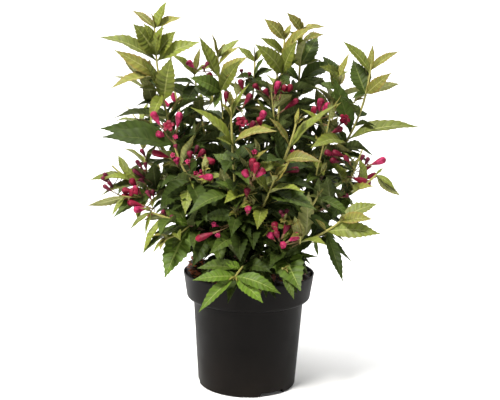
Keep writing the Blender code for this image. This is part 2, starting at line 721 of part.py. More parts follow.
class Mass:
    """Collects the closed shapes that are fused into one mass of foliage."""

    def __init__(self, name, space):
        self.name = name
        self.space = space
        self.shapes = []
        self.trees = []
        self.leaves = 0
        self.path = leader_path(name)
        self.paths = [self.path]
        self.rng = random.Random(name)
        self.longest = MASSES[name][3]
        self.turn = MASSES[name][4]

    def offer(self, make, *sizes):
        """Adds a shape if its slightly grown copy is clear of everything else."""
        grown = make(*sizes, grow=CLEAR)
        free = self.space.is_free(grown, self.name)
        grown.free()
        if free:
            shape = make(*sizes)
            self.shapes.append(shape)
            self.trees.append(BVHTree.FromBMesh(shape))
        return free

    def blade_is_free(self, root, tip, width, up):
        """Whether a leaf's outer part crosses none of its own mass's shapes."""
        outer = leaf_mesh(root.lerp(tip, OWN_CLEAR), tip, width, up)
        tree = BVHTree.FromBMesh(outer)
        outer.free()
        return not any(tree.overlap(other) for other in self.trees)

    def leaf(self, root, tip, width, up):
        """Adds one leaf, rooted behind the axis of its twig, if it has room."""
        ahead = (tip - root).normalized()
        if not self.offer(leaf_mesh, root - ahead * LEAF_SUNK, tip, width, up):
            return False
        self.leaves += 1
        return True

    def leaf_by_rule(self, root, ahead, length, width, droop):
        """A leaf of this length in this direction, its tip lowered by its own weight."""
        tip = root + ahead * length + Vector((0, 0, -droop * length))
        if not stays_inside(tip, self.path, self.longest * MM + LEAF_REACH):
            return False
        up = Vector((0, 0, 1))
        if abs(ahead.z) > UPRIGHT:
            up = Vector((-ahead.x, -ahead.y, 0.2))
        if not self.blade_is_free(root, tip, width, up):
            return False
        return self.leaf(root, tip, width, up)

    def pairs(self, path, longest, turn, most, placed=()):
        """Crossed pairs of leaves down a shoot from its tip, but none beside placed ones."""
        total = path_length(path)
        for index, back in enumerate(NODE_STEPS[:most]):
            share = 1 - back * MM / total
            if share < LOWEST_NODE:
                break
            if any(abs(share - other) * total < PLACED_APART for other in placed):
                continue
            place, ahead = along(path, share)
            across = (Vector((1, 0, 0)) - ahead * ahead.x).normalized()
            opening = OPENING_AT_NODE[index] + self.rng.uniform(-OPENING_SPREAD, OPENING_SPREAD)
            opening = math.radians(opening)
            length = longest * LENGTH_AT_NODE[index] * MM
            for half in (0, 180):
                spread = self.rng.uniform(-TURN_SPREAD, TURN_SPREAD)
                angle = math.radians(turn + 90 * index + half + spread)
                spoke = Quaternion(ahead, angle) @ across
                out = ahead * math.cos(opening) + spoke * math.sin(opening)
                out.z = max(out.z, LOWEST_AIM)
                size = length * self.rng.uniform(*LEAF_SIZES)
                width = size * self.rng.uniform(*LEAF_WIDTHS)
                droop = DROOP + DROOP_FOR_AGE * index
                for turn_more in TRIES:
                    tried = Quaternion(ahead, math.radians(turn_more)) @ out.normalized()
                    if self.leaf_by_rule(place, tried, size, width, droop):
                        break

    def twig(self, root, tip, bow):
        """A slender side twig, as a path and a fused tube."""
        middle = root.lerp(tip, 0.45) + Vector((0, 0, -bow))
        path = bezier(root, middle, middle.lerp(tip, 0.5), tip, 2)
        radii = tapered(path, TWIG_FOOT, TWIG_TIP)
        if not self.offer(tube_mesh, path, radii, TWIG_SIDES):
            return None
        return path

    def cluster(self, share, middle, count):
        """A short spur from the leading shoot that ends in a spread of buds."""
        root, _ = along(self.path, share)
        ahead = (middle - root).normalized()
        spur = self.twig(root, middle - ahead * SPUR_SHORT, TWIG_BOW)
        if not spur:
            return
        first = ahead.orthogonal().normalized()
        for number in range(count):
            angle = math.tau * number / count + self.rng.uniform(-BUD_TURN, BUD_TURN)
            side = Quaternion(ahead, angle) @ first
            out = (ahead + side * self.rng.uniform(*BUD_SPLAY) + BUD_AIM).normalized()
            length = BUD_LENGTH * self.rng.uniform(*BUD_SIZES)
            foot = spur[-1] - ahead * BUD_STEP * (number % 3 + 0.6)
            self.offer(bud_mesh, foot, out, length, BUD_RADIUS)

    def grow_placed(self):
        """The side shoots, leaves and buds that have rows of their own."""
        for owner, share, tip, _, _ in SIDE_SHOOTS:
            if owner == self.name:
                root, _ = along(self.path, share)
                self.paths.append(self.twig(root, Vector(tip) * MM, SIDE_SHOOT_BOW))
        for number, path in enumerate(self.paths):
            for share, tip, width, front in PLACED_LEAVES.get((self.name, number), ()):
                if path:
                    root, _ = along(path, share)
                    line = Vector(tip) * MM - root
                    up = facing_front(line.normalized(), front)
                    self.leaf(root, root + line, line.length * width, up)
        for owner, share, middle, count in CLUSTERS:
            if owner == self.name:
                self.cluster(share, Vector(middle) * MM, count)

    def grow_rest(self):
        """The leaves and side twigs that follow the rule."""
        sizes = [(size, twist) for owner, _, _, size, twist in SIDE_SHOOTS if owner == self.name]
        for number, path in enumerate(self.paths):
            placed = [row[0] for row in PLACED_LEAVES.get((self.name, number), ())]
            if number == 0:
                self.pairs(path, self.longest, self.turn, len(NODE_STEPS), placed)
            elif path:
                size, twist = sizes[number - 1]
                self.pairs(path, size, twist, 3, placed)
        self.side_twigs()

    def side_twigs(self):
        """Seeded side twigs from the axils of the lower leaf pairs, with leaves of their own."""
        total = path_length(self.path)
        for index, back in list(enumerate(NODE_STEPS))[3::2]:
            if back * MM > total * TWIG_RANGE:
                break
            place, ahead = along(self.path, 1 - back * MM / total)
            across = (Vector((1, 0, 0)) - ahead * ahead.x).normalized()
            half = 90 * (index % 4 - 1)
            spread = self.rng.uniform(-TWIG_SPREAD, TWIG_SPREAD)
            angle = math.radians(self.turn + 90 * index + half + spread)
            spoke = Quaternion(ahead, angle) @ across
            tip = place + (ahead * TWIG_AHEAD + spoke).normalized() * self.rng.uniform(*TWIG_LENGTH)
            if not stays_inside(tip, self.path, self.longest * MM + TWIG_REACH):
                continue
            path = self.twig(place, tip, TWIG_BOW)
            if path:
                self.pairs(path, self.longest * TWIG_LEAF, self.rng.uniform(0, 90), 1)


def facing_front(ahead, degrees):
    """The upper side of a leaf that is turned from up towards the front."""
    up = Vector((0, 0, 1)) - ahead * ahead.z
    if up.length < 0.25:
        up = Vector((-math.copysign(1, ahead.x), 0, 0.3))
    turn = math.radians(degrees)
    return up.normalized() * math.cos(turn) + Vector((0, -1, 0)) * math.sin(turn)


def keep_largest(mesh):
    """Drops loose scraps, and says whether what is left is one closed body."""
    bm = bmesh.new()
    bm.from_mesh(mesh)
    bmesh.ops.remove_doubles(bm, verts=bm.verts, dist=WELD)
    bmesh.ops.dissolve_degenerate(bm, edges=bm.edges, dist=WELD)
    bmesh.ops.dissolve_limit(bm, angle_limit=FLAT_ANGLE, verts=bm.verts, edges=bm.edges)
    bmesh.ops.triangulate(bm, faces=bm.faces)
    left = set(bm.faces)
    islands = []
    while left:
        island = [left.pop()]
        for face in island:
            for edge in face.edges:
                for other in edge.link_faces if edge.is_manifold else ():
                    if other in left:
                        left.discard(other)
                        island.append(other)
        islands.append(island)
    islands.sort(key=len)
    for scrap in islands[:-1]:
        bmesh.ops.delete(bm, geom=scrap, context="FACES")
    closed = all(edge.is_manifold for edge in bm.edges)
    bm.to_mesh(mesh)
    bm.free()
    return closed


def union_of(body, shapes):
    """The body joined with closed shapes by one Boolean union, applied."""
    parts = bpy.data.collections.new("parts")
    bpy.context.scene.collection.children.link(parts)
    for number, shape in enumerate(shapes):
        piece = add_object(f"piece_{number + 1}", shape.copy(), leaf_green)
        bpy.context.scene.collection.objects.unlink(piece)
        parts.objects.link(piece)
    union = body.modifiers.new("fuse", "BOOLEAN")
    union.operation = "UNION"
    union.operand_type = "COLLECTION"
    union.collection = parts
    union.solver = "MANIFOLD"
    bpy.context.view_layer.update()
    depsgraph = bpy.context.evaluated_depsgraph_get()
    fused = bpy.data.meshes.new_from_object(body.evaluated_get(depsgraph))
    body.modifiers.remove(union)
    for piece in list(parts.objects):
        bpy.data.objects.remove(piece)
    bpy.data.collections.remove(parts)
    return fused


def fuse(mass):
    """Joins the leading shoot with its twigs, leaves and buds into one closed body."""
    radii = tapered(mass.path, LEADER_FOOT, TWIG_TIP)
    body = add_object(f"foliage_{mass.name}", tube_mesh(mass.path, radii, TWIG_SIDES), leaf_green)
    fused = union_of(body, mass.shapes)
    if not keep_largest(fused):
        fused = union_of(body, sound_shapes(body, mass.shapes))
        keep_largest(fused)
    fused.materials.clear()
    fused.materials.append(leaf_green)
    body.data = fused
    print(body.name, "leaves", mass.leaves, "shapes", len(mass.shapes), "triangles", len(fused.polygons))
    return body


def sound_shapes(body, shapes):
    """The shapes that fuse without an open seam, tried a handful at a time."""
    sound = []
    for start in range(0, len(shapes), HANDFUL):
        handful = shapes[start : start + HANDFUL]
        if keep_largest(union_of(body, sound + handful)):
            sound += handful
            continue
        for shape in handful:
            if keep_largest(union_of(body, sound + [shape])):
                sound.append(shape)
    print(body.name, "left out", len(shapes) - len(sound), "of", len(shapes))
    return sound


def tree_of(thing):
    """A search tree of an object's faces."""
    bm = bmesh.new()
    bm.from_mesh(thing.data)
    tree = BVHTree.FromBMesh(bm)
    bm.free()
    return tree


for old in list(bpy.data.objects):
    bpy.data.objects.remove(old)

plastic = material("black_plastic", (0.018, 0.017, 0.017), 0.42)
soil = material("bark_compost", (0.07, 0.032, 0.018), 0.95)
bark = material("brown_bark", (0.16, 0.09, 0.06), 0.8)
leaf_green = material("leaf_green", (0.12, 0.24, 0.04), 0.5)

space = Space()
space.limbs.append(tree_of(make_pot()))
space.limbs.append(tree_of(make_compost()))
space.limbs.append(tree_of(make_stem()))
for cane in CANES:
    route = cane_path(cane)
    limb = add_object(cane, tube_mesh(route, tapered(route, CANE_FOOT, CANE_TIP), CANE_SIDES), bark)
    space.limbs.append(tree_of(limb))
masses = [Mass(mass_name, space) for mass_name in MASSES]
for mass in masses:
    core = tube_mesh(mass.path, tapered(mass.path, LEADER_FOOT, TWIG_TIP), TWIG_SIDES)
    space.shoots[mass.name] = [BVHTree.FromBMesh(core)]
    space.masses[mass.name] = mass.trees
    core.free()
for mass in masses:
    mass.grow_placed()
print("leaves placed", sum(mass.leaves for mass in masses))
for mass in masses:
    mass.grow_rest()
    fuse(mass)
print("leaves", sum(mass.leaves for mass in masses))
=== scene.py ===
# %% [markdown]
# # A potted weigela, dressed for its portrait
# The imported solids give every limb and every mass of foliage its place. This lesson keeps
# those places and gives them the living plant's surfaces: serrated leaves with sunken veins,
# club-shaped crimson buds, thin bark, moulded black plastic and bark compost.
# The first cell loads the solids as a fixed frame and notes how much room they take.

# %% Load the frame
import math
import random

import bmesh
import bpy
import numpy as np
from mathutils import Matrix, Quaternion, Vector, noise
from mathutils.bvhtree import BVHTree


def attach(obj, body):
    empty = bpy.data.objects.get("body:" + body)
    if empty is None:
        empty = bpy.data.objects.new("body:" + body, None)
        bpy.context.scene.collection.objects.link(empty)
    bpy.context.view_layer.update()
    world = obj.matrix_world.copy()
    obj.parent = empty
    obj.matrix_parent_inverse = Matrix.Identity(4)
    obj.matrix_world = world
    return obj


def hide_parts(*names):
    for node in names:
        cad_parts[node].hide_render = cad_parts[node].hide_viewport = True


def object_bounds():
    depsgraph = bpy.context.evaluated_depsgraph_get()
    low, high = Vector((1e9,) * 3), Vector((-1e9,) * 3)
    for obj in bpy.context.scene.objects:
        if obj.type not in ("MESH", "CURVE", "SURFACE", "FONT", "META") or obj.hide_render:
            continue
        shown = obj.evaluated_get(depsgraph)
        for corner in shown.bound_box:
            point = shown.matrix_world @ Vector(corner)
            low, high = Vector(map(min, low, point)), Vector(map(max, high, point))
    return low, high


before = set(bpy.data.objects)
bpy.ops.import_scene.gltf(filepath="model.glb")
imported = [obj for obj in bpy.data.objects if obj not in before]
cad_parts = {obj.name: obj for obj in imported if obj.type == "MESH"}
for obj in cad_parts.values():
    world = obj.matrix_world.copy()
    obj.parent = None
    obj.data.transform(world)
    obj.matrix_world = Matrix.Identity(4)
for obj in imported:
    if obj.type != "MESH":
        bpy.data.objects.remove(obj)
cad_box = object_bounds()
bpy.ops.object.select_all(action="DESELECT")
MM = 0.001
print("solids loaded:", len(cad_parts))

# %% [markdown]
# ## The growth table
# A weigela renews itself from the foot, so its canes fan out of one short stem. Each cane
# carries one or more leading shoots, and everything else grows on those. The table repeats
# the sizes that the solids were grown from, so that each fine shoot stands in its own solid.
# A cane has its tip in millimetres, and the compass direction and slope in which it sets out.

# %% The limbs' sizes
STEM_FLARE = 17 * MM
STEM_WAIST = 12.5 * MM
STEM_DOME = 13 * MM
DOME_HEIGHT = 10 * MM
COMPOST_TOP = 159 * MM
CLEAR = 0.35 * MM
POT_HEIGHT = 167 * MM
RIM_RADIUS = 95 * MM
CANE_FOOT = 2.9 * MM
CANE_TIP = 2.3 * MM
LEADER_FOOT = 1.5 * MM

CANES = {
    "cane_left": ((-72, 8, 248), 172, 42),
    "cane_left_front": ((-50, -42, 226), 222, 26),
    "cane_centre_left": ((-26, 24, 246), 118, 64),
    "cane_centre_back": ((4, 52, 240), 66, 40),
    "cane_centre_front": ((-5, -56, 228), 262, 52),
    "cane_right_centre": ((30, 18, 246), 20, 66),
    "cane_right": ((68, -5, 238), 354, 34),
    "cane_right_front": ((40, -60, 210), 312, 24),
    "cane_front_low": ((2, -60, 188), 272, 16),
    "cane_back_left": ((-54, 62, 232), 132, 24),
    "cane_back_right": ((58, 60, 234), 34, 16),
    "cane_back": ((-3, 76, 212), 96, 16),
}
print("canes:", len(CANES))

# %% [markdown]
# Each mass of foliage has a leading shoot: the cane it stands on, its tip in millimetres,
# how steeply the tip rises, the longest leaf, and how far the topmost pair of leaves is
# turned from the X axis. Weigela leaves stand in pairs, each pair crossing the one below.

# %% The leading shoots
MASSES = {
    "left_leader": ("cane_left", (-141, 16, 511), 6.0, 80, 8),
    "left_sprays": ("cane_left", (-196, -18, 318), 0.5, 68, 20),
    "left_front": ("cane_left_front", (-104, -62, 352), 0.9, 62, 60),
    "left_low": ("cane_left_front", (-134, -72, 262), 0.1, 66, 80),
    "centre_left": ("cane_centre_left", (-52, 42, 474), 1.0, 66, 20),
    "left_back": ("cane_centre_left", (-88, 82, 446), 0.9, 58, 50),
    "centre_back": ("cane_centre_back", (2, 92, 468), 1.0, 56, 10),
    "back_centre": ("cane_centre_back", (38, 140, 452), 0.9, 68, 40),
    "centre_front": ("cane_centre_front", (-28, -112, 408), 1.0, 78, 12),
    "front_right": ("cane_centre_front", (56, -118, 388), 0.9, 82, 24),
    "right_centre": ("cane_right_centre", (44, 34, 502), 1.0, 66, 12),
    "right_centre_twin": ("cane_right_centre", (71, 60, 512), 1.0, 62, 30),
    "right_leader": ("cane_right", (166, 4, 468), 5.0, 86, 6),
    "right_side": ("cane_right", (172, -52, 318), 0.4, 70, 70),
    "right_low": ("cane_right_front", (118, -112, 262), 0.4, 80, 16),
    "right_mid": ("cane_right_front", (88, -98, 292), 0.7, 66, 50),
    "front_low": ("cane_front_low", (-18, -118, 186), -0.2, 66, 2),
    "front_low_right": ("cane_front_low", (46, -108, 196), 0.1, 60, 70),
    "front_middle": ("cane_centre_front", (-20, -96, 268), 0.6, 74, 30),
    "back_left": ("cane_back_left", (-122, 128, 424), 0.9, 74, 30),
    "back_left_low": ("cane_back_left", (-148, 122, 296), 0.3, 70, 60),
    "back_right": ("cane_back_right", (128, 116, 436), 0.9, 74, 50),
    "back_right_low": ("cane_back_right", (158, 104, 300), 0.3, 72, 10),
    "back_low": ("cane_back", (-32, 168, 292), 0.4, 70, 40),
    "back_low_right": ("cane_back", (52, 162, 262), 0.2, 70, 0),
}
print("leading shoots:", len(MASSES))

# %% [markdown]
# A few side shoots, leaves and buds stand out by themselves and draw the crown's outline, so
# they have rows of their own. A side shoot's row has the share of the leading shoot where it
# starts, and its tip. A leaf's row has the place of its root in percent of the shoot, its
# tip in millimetres, its breadth in percent of its length, the degrees by which it is turned
# from facing up to facing the front, and its age, where 'shaded' is not an age but painted
# shade for a leaf in the crown's shadow. A bud's row has its head in millimetres, its angle
# from level, its length and its kind; the bright kind carries a painted highlight, and the
# dark kind is a deeper crimson with painted shade. The windows are gaps where the sky or the
# bark heap shows through the crown, measured in the upright plane of the stem. The clusters
# at the back have a share, a middle and a number of buds.

# %% Side shoots, leaves and buds with rows of their own
SIDE_SHOOTS = (
    ("left_leader", 0.30, (-172, 58, 448)),
    ("left_leader", 0.12, (-180, 50, 392)),
    ("left_sprays", 0.55, (-158, 16, 344)),
    ("left_sprays", 0.45, (-176, -66, 282)),
    ("left_front", 0.45, (-62, -84, 322)),
    ("left_low", 0.40, (-112, -104, 232)),
    ("centre_left", 0.50, (-22, 20, 424)),
    ("centre_front", 0.18, (4, -128, 340)),
    ("front_right", 0.20, (30, -132, 318)),
    ("right_centre", 0.45, (26, 0, 428)),
    ("right_leader", 0.30, (126, 40, 456)),
    ("right_leader", 0.20, (108, -30, 396)),
    ("right_side", 0.55, (150, -60, 352)),
    ("right_low", 0.35, (66, -132, 244)),
    ("right_mid", 0.40, (44, -120, 262)),
)
PLACED_LEAVES = {
    ("left_leader", 0): (
        (86, -127, -5, 515, 50, 60, "fresh"), (100, -174, 25, 536, 41, 50, "tip"),
        (100, -146, 5, 534, 38, 45, "tip"), (100, -124, 15, 549, 60, 60, "fresh"),
        (100, -103, 20, 527, 42, 50, "tip"), (93, -155, 0, 517, 50, 60, "fresh"),
        (93, -125, 0, 512, 50, 60, "tip"), (86, -168, -5, 515, 76, 60, "fresh"),
        (86, -110, 5, 507, 71, 65, "fresh"), (86, -133, -15, 499, 42, 65, "fresh"),
        (83, -219, 5, 497, 38, 45, "fresh"), (83, -77, 10, 493, 45, 50, "fresh"),
        (75, -194, -10, 479, 34, 75, "tip"), (75, -198, -20, 426, 38, 40, "tip"),
        (62, -115, -5, 471, 56, 75, "fresh"), (66, -153, -8, 465, 38, 50, "fresh"),
        (66, -162, -5, 427, 38, 45, "fresh"), (66, -141, -30, 381, 42, 60, "fresh"),
    ),
    ("left_back", 0): (
        (100, -123, 70, 477, 43, 50, "fresh"), (100, -81, 85, 487, 38, 45, "tip"),
        (100, -57, 60, 460, 44, 50, "fresh"), (93, -128, 50, 433, 38, 40, "grown"),
        (93, -102, 45, 400, 60, 70, "grown"), (93, -60, 50, 411, 60, 70, "grown"),
        (80, -139, 70, 437, 38, -50, "grown"), (80, -104, 50, 379, 50, 40, "shaded"),
    ),
    ("centre_left", 0): (
        (94, -20, 30, 489, 34, 50, "tip"), (99, -61, 35, 508, 40, 45, "tip"),
        (99, -20, 50, 500, 47, 55, "fresh"), (99, -38, 20, 494, 40, 45, "tip"),
        (86, -78, 25, 501, 44, 60, "fresh"), (86, -9, 20, 474, 54, 55, "tip"),
        (78, -18, 5, 469, 47, 70, "fresh"), (78, -90, 10, 443, 58, 60, "grown"),
        (78, -55, 20, 400, 50, 50, "grown"), (78, -71, 20, 417, 50, 60, "grown"),
    ),
    ("centre_back", 0): (
        (90, 16, 70, 475, 46, 50, "grown"), (100, -24, 90, 490, 58, 55, "fresh"),
        (100, -1, 85, 496, 38, 45, "tip"), (100, 17, 100, 494, 42, 50, "fresh"),
        (90, 30, 80, 457, 60, 50, "grown"), (90, -27, 80, 443, 56, 50, "grown"),
        (90, -10, 60, 420, 56, 60, "shaded"), (90, 14, 60, 430, 56, 60, "shaded"),
    ),
    ("right_centre", 0): (
        (91, 82, 5, 518, 42, 55, "tip"), (80, 60, 0, 497, 46, 60, "fresh"),
        (99, 14, 25, 528, 54, 60, "tip"), (99, 31, 20, 528, 38, 45, "tip"),
        (99, 53, 40, 523, 42, 50, "tip"), (91, 9, 10, 501, 52, 60, "fresh"),
        (91, 64, 10, 496, 49, 55, "tip"), (80, 2, -10, 491, 44, 70, "fresh"),
        (86, 55, 15, 504, 41, 60, "tip"), (80, 63, 10, 471, 50, 50, "grown"),
        (80, 53, 10, 432, 50, 60, "shaded"),
    ),
    ("right_centre_twin", 0): (
        (82, 86, -5, 514, 38, 50, "fresh"), (74, 69, 40, 417, 42, 60, "shaded"),
        (100, 103, 50, 520, 42, 50, "tip"), (100, 84, 30, 520, 41, 45, "tip"),
        (100, 71, 60, 529, 40, 45, "tip"), (100, 47, 50, 539, 55, 60, "tip"),
        (92, 99, 20, 508, 47, 50, "tip"), (92, 50, 30, 512, 60, 60, "fresh"),
        (87, 66, 40, 509, 50, 60, "fresh"), (82, 47, 50, 486, 54, 60, "fresh"),
        (82, 95, 80, 507, 66, 75, "grown"), (82, 101, 60, 473, 47, 50, "fresh"),
        (74, 123, 85, 465, 50, 50, "grown"), (74, 36, 60, 468, 46, 50, "grown"),
        (74, 112, 70, 438, 56, 60, "shaded"),
    ),
    ("right_leader", 1): (
        (93, 138, 35, 483, 40, 50, "tip"), (93, 100, 45, 478, 54, 50, "grown"),
        (93, 94, 10, 463, 46, 60, "fresh"), (93, 137, 20, 457, 41, 45, "fresh"),
        (84, 107, 20, 467, 46, 60, "fresh"), (84, 95, 40, 438, 50, 50, "grown"),
        (84, 114, 30, 409, 50, 60, "grown"),
    ),
    ("right_leader", 0): (
        (96, 124, -5, 498, 36, 75, "fresh"), (96, 203, -5, 486, 38, 50, "tip"),
        (96, 167, 5, 494, 40, 45, "tip"), (83, 190, -25, 456, 42, 75, "tip"),
        (83, 205, -10, 441, 40, -45, "tip"), (83, 142, 20, 473, 68, 75, "grown"),
        (83, 138, -20, 419, 46, 50, "grown"), (55, 236, -5, 381, 34, 35, "fresh"),
        (52, 80, -60, 353, 38, 35, "fresh"), (60, 115, 15, 447, 40, 60, "shaded"),
    ),
    ("centre_front", 0): (
        (100, -29, -112, 429, 38, 45, "tip"), (100, -21, -118, 420, 38, 45, "tip"),
        (92, -41, -125, 414, 41, 50, "tip"), (92, -5, -120, 438, 38, 40, "fresh"),
        (72, -78, -130, 407, 30, 40, "fresh"), (72, 31, -140, 380, 38, 40, "tip"),
        (72, -45, -130, 369, 41, 55, "fresh"),
    ),
    ("front_right", 0): (
        (99, 59, -118, 409, 38, 45, "tip"), (99, 66, -120, 396, 38, 45, "tip"),
        (83, 22, -130, 396, 38, 45, "tip"), (80, 109, -115, 415, 34, 30, "fresh"),
        (70, 88, -145, 343, 41, 55, "tip"), (70, 9, -120, 318, 38, -50, "tip"),
        (70, 31, -110, 386, 36, 50, "shaded"), (42, 84, -140, 281, 50, 50, "grown"),
    ),
    ("right_side", 0): (
        (83, 146, -60, 341, 41, 55, "fresh"), (99, 181, -50, 327, 40, 50, "fresh"),
        (99, 197, -60, 299, 36, 55, "fresh"), (99, 205, -60, 290, 36, -105, "fresh"),
        (63, 165, -80, 305, 41, 55, "tip"), (63, 126, -60, 262, 40, 50, "grown"),
        (63, 108, -50, 250, 56, 60, "shaded"),
    ),
    ("right_low", 0): (
        (3, 68, -130, 172, 62, 60, "lush"), (100, 158, -125, 268, 56, 55, "tip"),
        (100, 166, -110, 286, 48, 40, "fresh"), (77, 170, -120, 248, 41, 50, "fresh"),
        (77, 122, -135, 187, 33, 60, "shaded"), (77, 126, -110, 234, 32, 25, "fresh"),
        (77, 86, -105, 263, 38, 45, "tip"), (60, 48, -100, 209, 56, 60, "shaded"),
        (60, 93, -90, 209, 30, 40, "grown"),
    ),
    ("right_mid", 0): (
        (10, 78, -108, 190, 52, 55, "shaded"), (10, 18, -112, 186, 50, 60, "shaded"),
        (99, 76, -110, 294, 38, 45, "fresh"), (99, 131, -110, 268, 38, 45, "grown"),
        (70, 116, -90, 233, 50, 50, "shaded"), (70, 45, -100, 292, 50, 40, "grown"),
    ),
    ("front_low", 0): (
        (98, -73, -130, 183, 38, 45, "lush"), (98, -64, -140, 143, 34, 45, "lush"),
        (98, 19, -142, 158, 50, 50, "lush"), (98, 42, -136, 169, 38, 45, "lush"),
        (98, -26, -120, 194, 38, 45, "lush"), (58, -69, -100, 192, 44, 50, "grown"),
        (58, -32, -100, 201, 60, 50, "lush"),
    ),
    ("front_low_right", 0): (
        (37, 93, -80, 207, 26, 40, "grown"), (98, 60, -125, 159, 36, 40, "grown"),
        (37, 16, -100, 211, 38, -65, "tip"), (37, 3, -115, 179, 60, 60, "grown"),
        (37, 43, -105, 230, 38, 45, "grown"),
    ),
    ("left_low", 0): (
        (42, -113, -95, 177, 56, 75, "lush"), (40, -109, -70, 249, 50, 50, "lush"),
        (40, -105, -80, 212, 50, 50, "grown"), (80, -144, -75, 251, 41, -75, "tip"),
        (80, -144, -80, 207, 28, 40, "fresh"), (100, -162, -80, 239, 30, 35, "fresh"),
        (100, -142, -75, 231, 28, 45, "fresh"), (100, -149, -75, 268, 34, 45, "fresh"),
    ),
    ("left_sprays", 0): (
        (75, -205, -30, 303, 34, 40, "fresh"), (80, -229, -10, 296, 38, 20, "fresh"),
        (80, -192, 10, 330, 38, 25, "fresh"), (60, -212, -20, 275, 38, 20, "fresh"),
        (60, -188, -12, 319, 36, 55, "fresh"), (48, -187, -60, 252, 38, 45, "grown"),
    ),
    ("left_sprays", 2): (
        (90, -225, -55, 266, 25, -110, "tip"), (90, -188, -70, 256, 38, 45, "fresh"),
    ),
    ("front_middle", 0): (
        (30, -8, -124, 205, 50, 55, "shaded"), (30, -52, -116, 216, 50, 60, "grown"),
        (45, 38, -112, 222, 50, 50, "shaded"), (85, -64, -112, 262, 48, 55, "shaded"),
        (85, 24, -120, 250, 48, 45, "shaded"),
    ),
    ("left_front", 0): (
        (6, -76, -92, 192, 50, 55, "shaded"), (6, -36, -104, 198, 50, 60, "grown"),
        (20, -112, -52, 222, 50, 45, "shaded"), (100, -205, -60, 373, 34, 55, "shaded"),
        (100, -199, -80, 363, 38, 45, "shaded"), (62, -56, -120, 259, 40, 45, "shaded"),
        (62, -86, -100, 265, 40, 60, "fresh"), (62, -126, -40, 264, 60, 60, "shaded"),
        (41, -115, -90, 286, 60, 60, "shaded"), (41, -24, -110, 258, 40, 50, "shaded"),
    ),
}
PLACED_BUDS = {
    "left_front": (
        (-135, -70, 397, 125, 27, "bright"), (-113, -66, 380, 105, 11, "open"),
        (-97, -68, 398, 80, 29, "bright"), (-127, -74, 370, 150, 17, "end"),
        (-102, -70, 366, 65, 10, "star"), (-104, -62, 354, 110, 9, "small"),
        (-134, -70, 344, 160, 32, "club"), (-107, -70, 341, 125, 10, "star"),
        (-102, -64, 337, 100, 14, "bright"), (-83, -66, 346, 90, 15, "dark"),
        (-86, -74, 334, 100, 14, "star"), (-73, -60, 353, 70, 16, "small"), (-63, -62, 347, 45, 19, "dark"),
        (-50, -66, 329, 335, 24, "club"), (-73, -74, 317, 45, 13, "star"), (-65, -74, 320, 45, 16, "star"),
        (-50, -100, 315, 5, 26, "end"),
    ),
    "left_back": (
        (-96, 40, 467, 135, 18, "bright"), (-73, 40, 460, 110, 9, "small"), (-66, 40, 466, 60, 12, "small"),
        (-59, 30, 449, 30, 17, "club"),
    ),
    "centre_back": (
        (-18, 60, 457, 100, 9, "small"), (-5, 60, 453, 80, 9, "small"),
    ),
    "left_sprays": (
        (-155, -20, 343, 115, 17, "small"), (-149, -24, 325, 100, 14, "small"),
        (-161, -26, 328, 125, 22, "small"), (-166, -30, 314, 145, 30, "small"),
        (-155, -34, 303, 135, 12, "small"), (-167, -44, 303, 120, 21, "club"),
        (-161, -50, 293, 125, 17, "end"), (-162, -50, 291, 70, 18, "club"),
        (-160, -52, 283, 250, 14, "club"), (-178, -46, 288, 175, 22, "club"),
        (-179, -46, 279, 175, 24, "club"), (-170, -52, 271, 170, 28, "club"),
        (-161, -56, 263, 180, 23, "bright"), (-141, -60, 253, 190, 22, "dark"),
        (-211, -20, 302, 140, 19, "small"), (-208, -16, 308, 120, 18, "small"),
        (-201, -18, 296, 120, 15, "small"), (-208, -24, 291, 145, 20, "small"),
        (-143, -48, 289, 115, 18, "small"), (-137, -40, 288, 100, 14, "small"),
        (-120, -64, 264, 115, 14, "small"), (-108, -64, 257, 105, 11, "small"),
    ),
    "centre_left": (
        (-18, -10, 443, 105, 20, "dark"), (-37, 20, 425, 85, 23, "dark"), (1, 30, 436, 135, 16, "dark"),
        (16, 20, 429, 125, 17, "dark"), (-14, -50, 388, 80, 18, "open"), (4, -40, 386, 55, 17, "dark"),
        (17, -45, 401, 70, 23, "bright"), (10, -55, 393, 95, 19, "club"),
    ),
    "right_centre": (
        (35, -12, 441, 80, 25, "bright"), (45, -8, 436, 70, 22, "club"), (56, -4, 436, 50, 29, "club"),
        (64, -10, 417, 40, 32, "dark"), (-2, -40, 424, 60, 24, "dark"),
    ),
    "right_centre_twin": (
        (87, -20, 408, 80, 20, "club"), (95, -20, 419, 85, 24, "bright"), (106, -24, 413, 60, 24, "bright"),
        (132, -10, 392, 60, 20, "open"), (128, -10, 378, 25, 23, "dark"),
    ),
    "centre_front": (
        (4, -135, 355, 85, 17, "star"), (1, -140, 345, 90, 23, "club"), (7, -142, 341, 80, 21, "club"),
        (16, -140, 332, 50, 20, "bright"), (-10, -138, 330, 120, 21, "bright"),
        (-5, -120, 304, 90, 16, "dark"), (-3, -125, 280, 85, 12, "end"),
    ),
    "front_right": (
        (54, -112, 354, 80, 16, "star"), (63, -100, 327, 10, 24, "dark"),
    ),
    "right_side": (
        (100, -50, 348, 155, 20, "dark"), (108, -50, 337, 165, 19, "dark"),
        (127, -50, 343, 125, 17, "dark"), (185, -48, 338, 20, 28, "bright"),
        (158, -60, 307, 343, 26, "club"), (162, -40, 340, 70, 17, "small"),
        (154, -40, 344, 75, 16, "small"), (134, -60, 290, 20, 12, "small"),
        (110, -55, 348, 160, 22, "dark"),
    ),
    "right_mid": (
        (30, -118, 260, 110, 22, "club"), (25, -122, 246, 125, 16, "end"), (34, -120, 249, 110, 17, "dark"),
        (50, -118, 259, 70, 21, "dark"), (65, -122, 246, 35, 22, "bright"), (45, -124, 234, 75, 13, "end"),
        (40, -110, 275, 105, 11, "small"), (44, -112, 270, 90, 9, "small"),
        (48, -108, 276, 80, 12, "small"),
    ),
    "left_low": (
        (-72, -105, 233, 200, 34, "club"), (-43, -108, 237, 240, 10, "star"),
        (-49, -108, 254, 145, 11, "star"),
    ),
}
